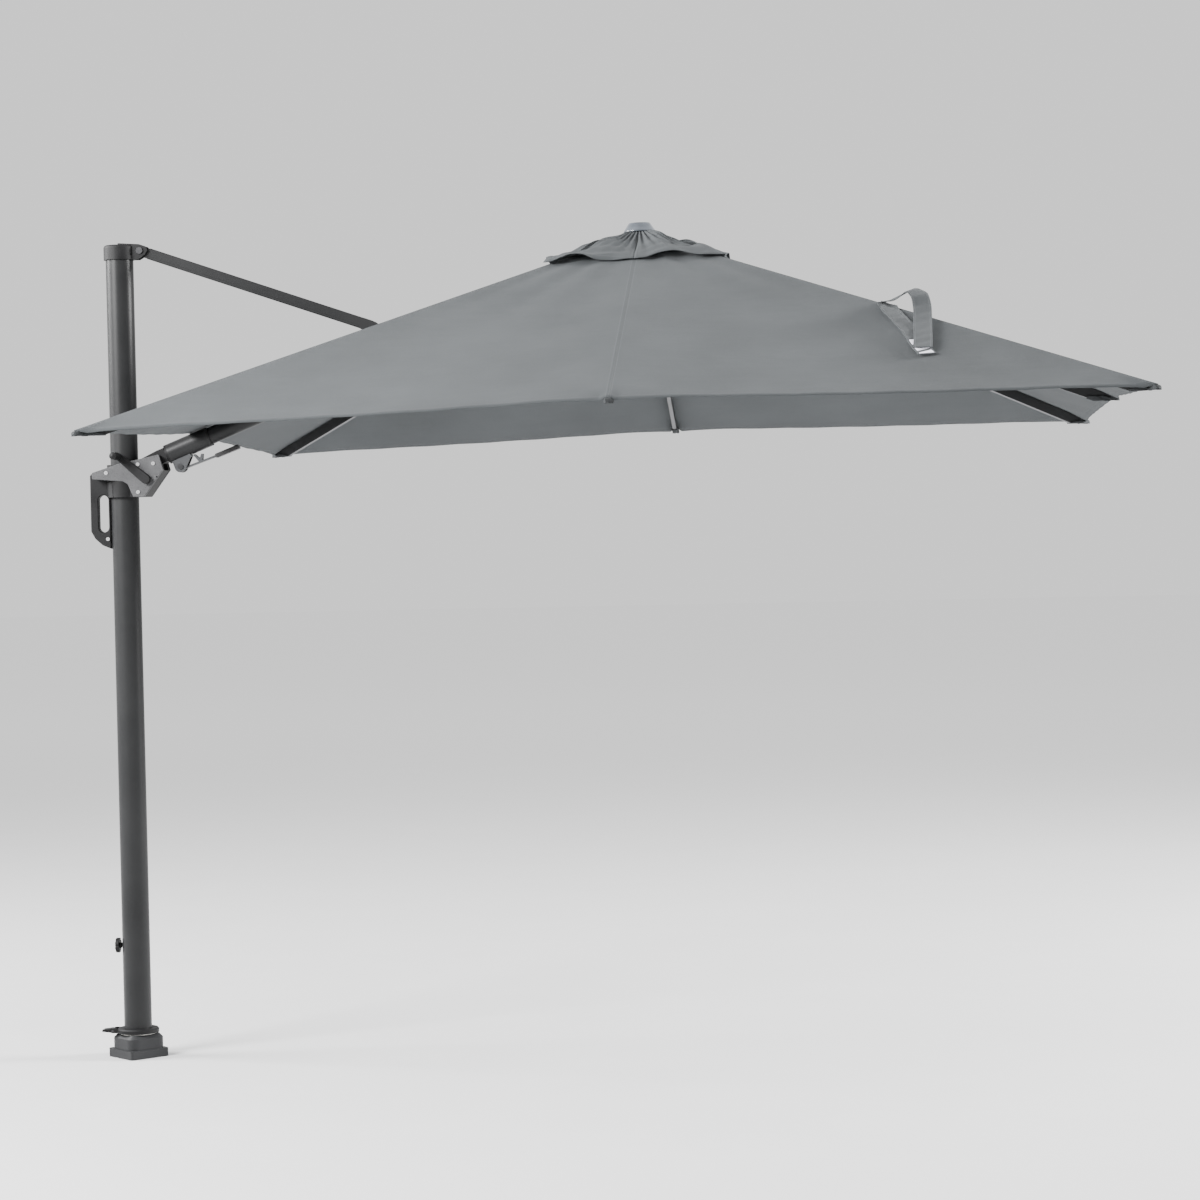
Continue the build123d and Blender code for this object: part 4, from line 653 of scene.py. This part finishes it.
def flap_point(side, turn, s, t):
    """A point of the vent flap: loose cloth with arched hems, pleats at its top and a turned-up edge."""
    a, c = math.radians(side), math.radians(side + 45.0 * turn)
    to_mid = np.array((math.cos(a), math.sin(a)))
    to_corner = np.array((math.cos(c), math.sin(c)))
    edge = to_mid * (1 - t) + to_corner * t * math.sqrt(2)
    reach = flap_reach(s)
    place = turn * t * reach / FLAP_HALF
    free = 4.0 * t * (1.0 - t)
    shift = 0.9 * math.sin(math.radians(side) * 2.3 + 0.7)
    lifted = max(0.0, math.sin(5.6 * place + 4.0 * shift) + 0.15)
    arch = FLAP_ARCH * lifted ** 1.3 * (1.0 - t ** 8) * s ** 3
    billow = FLAP_BILLOW * math.sin(math.pi * s) * math.sin(11.0 * place + 3.0 * shift)
    pleat = FLAP_PLEAT * math.sin(34.0 * t * turn + 5.0 * shift) * (1.0 - s) ** 1.2 * min(1.0, 6.0 * s)
    ruck = FLAP_RUCK * math.sin(26.0 * s + 9.0 * place + shift) * s * free
    hollow = -FLAP_HOLLOW * math.sin(math.pi * s) * (1.0 - 0.5 * free)
    loose = max(FLAP_FLOOR, billow * t * 1.2 + hollow + FLAP_LOFT) * min(1.0, 5.0 * (1.0 - s) + 0.4)
    z = FLAP_EDGE_Z + (FLAP_HALF - reach) * FLAP_SLOPE + 0.006 * s - 0.0115 * s ** 4
    z += arch + loose + pleat + ruck
    inset = 1.0 - FLAP_INSET * math.sin(9.0 * t + 4.0 * shift) ** 2 * free * s ** 3
    return canopy_point(edge[0] * reach * inset, edge[1] * reach * inset, z)


def build_flap(name, label, inner, outer, rows):
    """One sector of the vent flap, over its gore, between two shares of the way to its hem."""
    side, turn, _ = GORES[name]
    points, flat, edges = [], [], []
    for row in range(rows + 1):
        s = inner + (outer - inner) * row / rows
        for column in range(FLAP_COLUMNS + 1):
            t = column / FLAP_COLUMNS
            reach = flap_reach(s)
            points.append(flap_point(side, turn, s, t))
            flat.append((reach * t * turn, reach))
            hip = reach * (1 - t) * math.sqrt(0.5)
            edges.append((FLAP_HALF - reach + FLAP_HEM_SHIFT, min(reach * t + FLAP_SEAM_SHIFT, hip)))
    faces = grid_faces(rows, FLAP_COLUMNS, flipped=turn > 0)
    piece = new_mesh(label + name, points, faces, CLOTH, {"cloth": flat, "edges": edges})
    thicken(piece, CLOTH_T)
    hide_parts("vent_flap")
    return piece


for gore_name, (gore_side, _, gore_rib) in GORES.items():
    flap_top = build_flap(gore_name, "flap_top_", 0.0, FLAP_SPLIT, FLAP_TOP_ROWS)
    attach(flap_top, "crown")
    flap = build_flap(gore_name, "flap_", FLAP_SPLIT, 1.0, FLAP_ROWS - FLAP_TOP_ROWS)
    gather(flap, gore_name)


# ---- Pockets over the rib tips ----
def build_pocket(rib):
    """The cloth pocket that a rib's tip stands in: closed at the tip, an open trough under the rib."""
    azimuth, (hinge_r, slope, tip_r) = RIBS[rib]
    a, fall = math.radians(azimuth), math.radians(slope)
    hinge = canopy_point(hinge_r * math.cos(a), hinge_r * math.sin(a), 0.0)
    along = canopy_vector(math.cos(a) * math.cos(fall), math.sin(a) * math.cos(fall), -math.sin(fall))
    up = canopy_vector(math.cos(a) * math.sin(fall), math.sin(a) * math.sin(fall), math.cos(fall))
    aside = along.cross(up)
    length = (tip_r - hinge_r) / math.cos(fall)
    tip_floor = (RIM_MID_Z if tip_r < HALF else RIM_CORNER_Z) - TIP_DEPTH
    start, closed, end = length - POCKET_LENGTH, length - POCKET_CLOSED, length + POCKET_PAST_TIP
    points, flat, edges, faces = [], [], [], []
    for ring in range(POCKET_RINGS + 1):
        distance = start + (end - start) * ring / POCKET_RINGS
        open_part = max(0.0, min(1.0, (distance - start) / (closed - start)))
        side_height = POCKET_SIDE_LOW * POCKET_HALF_H + POCKET_SIDE_RISE * POCKET_HALF_H * open_part ** 1.1
        nose = max(0.0, (distance - (end - POCKET_NOSE)) / POCKET_NOSE)
        shrink = math.sqrt(max(0.0, 1.0 - nose ** 2))
        level_cut = (tip_floor + math.sin(fall) * distance) / math.cos(fall)
        for step in range(POCKET_AROUND):
            angle = 2.0 * math.pi * step / POCKET_AROUND
            x, y = math.cos(angle), math.sin(angle)
            square = (abs(x) ** POCKET_SQUARENESS + abs(y) ** POCKET_SQUARENESS) ** (-1 / POCKET_SQUARENESS)
            x *= square * POCKET_HALF_W * (POCKET_NOSE_KEEP + (1.0 - POCKET_NOSE_KEEP) * shrink)
            y *= square * POCKET_HALF_H * shrink
            sagging = POCKET_SAG * math.sin(70.0 * (distance - start) + 3.0 * angle)
            y = max(y, level_cut)
            if distance < closed and y > side_height:
                y = side_height
                x = math.copysign(POCKET_HALF_W, x)
            points.append(hinge + along * distance + aside * (x + sagging * (y < 0)) + up * y)
            flat.append((angle * POCKET_HALF_H, distance))
            edges.append((min(distance - start, POCKET_HEM), FAR_FROM_SEAM))
    for ring in range(POCKET_RINGS):
        distance = start + (end - start) * (ring + 0.5) / POCKET_RINGS
        for step in range(POCKET_AROUND):
            angle = 2.0 * math.pi * (step + 0.5) / POCKET_AROUND
            if distance < closed and math.sin(angle) > POCKET_OPEN_SINE:
                continue
            this, following = ring * POCKET_AROUND, (ring + 1) * POCKET_AROUND
            beside = (step + 1) % POCKET_AROUND
            faces.append((this + step, following + step, following + beside, this + beside))
    return new_mesh("pocket_" + rib, points, faces, POCKET_CLOTH, {"cloth": flat, "edges": edges})


for rib_name in RIBS:
    pocket = build_pocket(rib_name)
    thicken(pocket, POCKET_T)
    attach(pocket, "rib_" + rib_name)


# ---- Closing strap ----
# Stations of each tail, in the canopy's frame: x, y, height over the cloth, the direction across it and
# its width there as a share of the strap's width. The lower tail starts at the strap's slanting fold.
LOWER_TAIL = [
    (0.762, -0.782, 0.0040, (0.20, 0.98, 0.0, 2.0)),
    (0.780, -0.822, 0.0080, (0.62, 0.75, 0.0, 1.38)),
    (0.794, -0.872, 0.0120, (0.93, 0.36, 0.0, 1.04)),
    (0.838, -1.020, 0.0150, (0.96, 0.27, 0.0, 1.0)),
    (0.866, -1.130, 0.0070, (0.96, 0.27, 0.0, 1.0)),
    (0.885, -1.195, 0.0050, (0.96, 0.27, 0.0, 1.0)),
]
UPPER_TAIL = [
    (0.758, -0.780, 0.0075, (0.20, 0.98, 0.0, 1.15)),
    (0.790, -0.790, 0.0160, (0.30, 0.92, 0.2, 1.0)),
    (0.822, -0.805, 0.0400, (0.35, 0.87, 0.3, 1.0)),
    (0.850, -0.835, 0.0640, (0.62, 0.72, 0.2, 1.0)),
    (0.872, -0.870, 0.0560, (0.93, 0.35, 0.1, 1.0)),
    (0.880, -0.910, 0.0330, (0.99, 0.05, 0.0, 1.0)),
    (0.878, -1.000, 0.0190, (1.0, 0.0, 0.0, 1.0)),
    (0.876, -1.100, 0.0160, (1.0, -0.02, 0.0, 1.0)),
    (0.874, -1.160, 0.0130, (1.0, -0.04, 0.0, 1.0)),
]


def station_blend(stations, amount):
    """A smooth blend of the stations, amount from 0 to 1 along them."""
    last = len(stations) - 1
    place = amount * last
    first = min(int(place), last - 1)
    u = place - first
    picks = (max(first - 1, 0), first, first + 1, min(first + 2, last))
    before, start, end, after = (np.array((*stations[i][:3], *stations[i][3])) for i in picks)
    return 0.5 * (2 * start + (end - before) * u + (2 * before - 5 * start + 4 * end - after) * u ** 2
                  + (3 * start - before - 3 * end + after) * u ** 3)


def build_band(name, stations, half_width, material, lift=0.0, ends=(0.0, 1.0)):
    """A strap that follows the stations over the cloth."""
    points, flat, edges = [], [], []
    run, last = 0.0, None
    for row in range(STRAP_ROWS + 1):
        blend = station_blend(stations, ends[0] + (ends[1] - ends[0]) * row / STRAP_ROWS)
        x, y, height = blend[:3]
        across = blend[3:6] / np.linalg.norm(blend[3:6]) * blend[6]
        centre = np.array((x, y, surface_height(x, y) + height + lift))
        run += 0.0 if last is None else float(np.linalg.norm(centre - last))
        last = centre
        for column in range(STRAP_COLUMNS + 1):
            off = half_width * (2.0 * column / STRAP_COLUMNS - 1.0)
            point = centre + across * off
            lowest = surface_height(point[0], point[1]) + min(height, STRAP_LYING) + lift
            clearance = 0.0 if height < STRAP_LOW else STRAP_CLEARANCE
            point[2] = max(point[2], lowest + clearance)
            point[2] += STRAP_WAVE * math.sin(120.0 * run + 60.0 * off)
            points.append(canopy_point(*point))
            flat.append((off, run))
            edges.append((half_width - abs(off), FAR_FROM_SEAM))
    faces = grid_faces(STRAP_ROWS, STRAP_COLUMNS)
    band = new_mesh(name, points, faces, material, {"cloth": flat, "edges": edges})
    return band, run


# Each piece: its name, stations, half its width, its material, lift, ends and thickness
PATCH_HALF_W = STRAP_HALF_W - PATCH_INSET
STRAP_PIECES = (
    ("strap_lower", LOWER_TAIL, STRAP_HALF_W, STRAP_CLOTH, 0.0, (0.0, 1.0), STRAP_T),
    ("strap_upper", UPPER_TAIL, STRAP_HALF_W, STRAP_CLOTH, 0.0, (0.0, 1.0), STRAP_T),
    ("strap_hooks", LOWER_TAIL, PATCH_HALF_W, HOOK_PATCH, PATCH_LIFT, PATCH_ENDS, PATCH_T),
)
for piece_name, stations, half_width, material, lift, ends, thickness in STRAP_PIECES:
    band, run = build_band(piece_name, stations, half_width, material, lift, ends)
    thicken(band, thickness)
    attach(band, "rib_near_right")
    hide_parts("closing_strap")


# ---- Stage: floor, light and camera ----
FLOOR_SPAN = 60.0
SKY_STRENGTH = 1.05
# Each lamp: its name, place, target, size and power
LAMPS = (
    ("key", (-3.0, -3.6, 4.2), (0.9, -1.0, 2.3), 2.2, 1200.0),
    ("left", (-5.2, 0.3, 4.4), (0.8, 0.0, 2.3), 2.6, 1300.0),
    ("right", (9.0, 1.2, 4.2), (2.6, 0.3, 2.3), 2.6, 2700.0),
)
CAMERA_PLACE = (2.4516, -10.338, 1.6958)
CAMERA_LENS = 96.49
CAMERA_YAW = math.radians(-4.99)
CAMERA_PITCH = math.radians(-1.27)
CAMERA_ROLL = math.radians(-1.22)


def build_floor():
    """A plain pale floor, a little darker under the parasol than far away."""
    s = Shader("pale_floor")
    place = s.coordinates()
    reach = s.tree.nodes.new("ShaderNodeVectorMath")
    reach.operation = "LENGTH"
    s.link(place, reach.inputs[0])
    far = s.math("SMOOTH_MIN", s.math("MULTIPLY", reach.outputs["Value"], 0.055), 1.0, 0.3)
    grain = s.noise(place, 2.0, 4.0)
    near_tone = s.mix(grain, (0.43, 0.43, 0.434), (0.47, 0.47, 0.47))
    s.link(s.mix(far, near_tone, (0.97, 0.97, 0.97)), s.surface.inputs["Base Color"])
    s.set(Roughness=0.9, Specular_IOR_Level=0.0)
    corners = [(x * FLOOR_SPAN, y * FLOOR_SPAN, 0) for x, y in ((-1, -1), (1, -1), (1, 1), (-1, 1))]
    floor = new_mesh("floor", corners, [(0, 1, 2, 3)], s.material)


def add_light(name, place, target, size, power):
    """A square soft light aimed at a point."""
    data = bpy.data.lights.new(name, "AREA")
    data.shape = "SQUARE"
    data.size = size
    data.energy = power
    lamp = bpy.data.objects.new(name, data)
    lamp.location = place
    lamp.rotation_euler = (Vector(target) - Vector(place)).to_track_quat("-Z", "Y").to_euler()
    bpy.context.collection.objects.link(lamp)


def build_light():
    """A bright even room, a soft key from the front left and a soft box at either side."""
    world = bpy.data.worlds.new("studio")
    world.use_nodes = True
    sky = world.node_tree.nodes["Background"]
    sky.inputs["Color"].default_value = (1.0, 1.0, 1.0, 1.0)
    sky.inputs["Strength"].default_value = SKY_STRENGTH
    bpy.context.scene.world = world
    for lamp in LAMPS:
        add_light(*lamp)


def build_camera():
    """The photograph's view: eye height, about ten metres away, long lens."""
    ahead = Vector((math.sin(CAMERA_YAW), math.cos(CAMERA_YAW), 0.0))
    forward = ahead * math.cos(CAMERA_PITCH) + Vector((0.0, 0.0, math.sin(CAMERA_PITCH)))
    level = Vector((math.cos(CAMERA_YAW), -math.sin(CAMERA_YAW), 0.0))
    upright = level.cross(forward)
    right = level * math.cos(CAMERA_ROLL) + upright * math.sin(CAMERA_ROLL)
    up = upright * math.cos(CAMERA_ROLL) - level * math.sin(CAMERA_ROLL)
    data = bpy.data.cameras.new("camera")
    data.sensor_width = 36.0
    data.lens = CAMERA_LENS
    data.clip_end = 200.0
    camera = bpy.data.objects.new("camera", data)
    camera.matrix_world = Matrix((right, up, -forward)).transposed().to_4x4()
    camera.location = CAMERA_PLACE
    bpy.context.collection.objects.link(camera)
    bpy.context.scene.camera = camera


build_floor()
build_light()
build_camera()
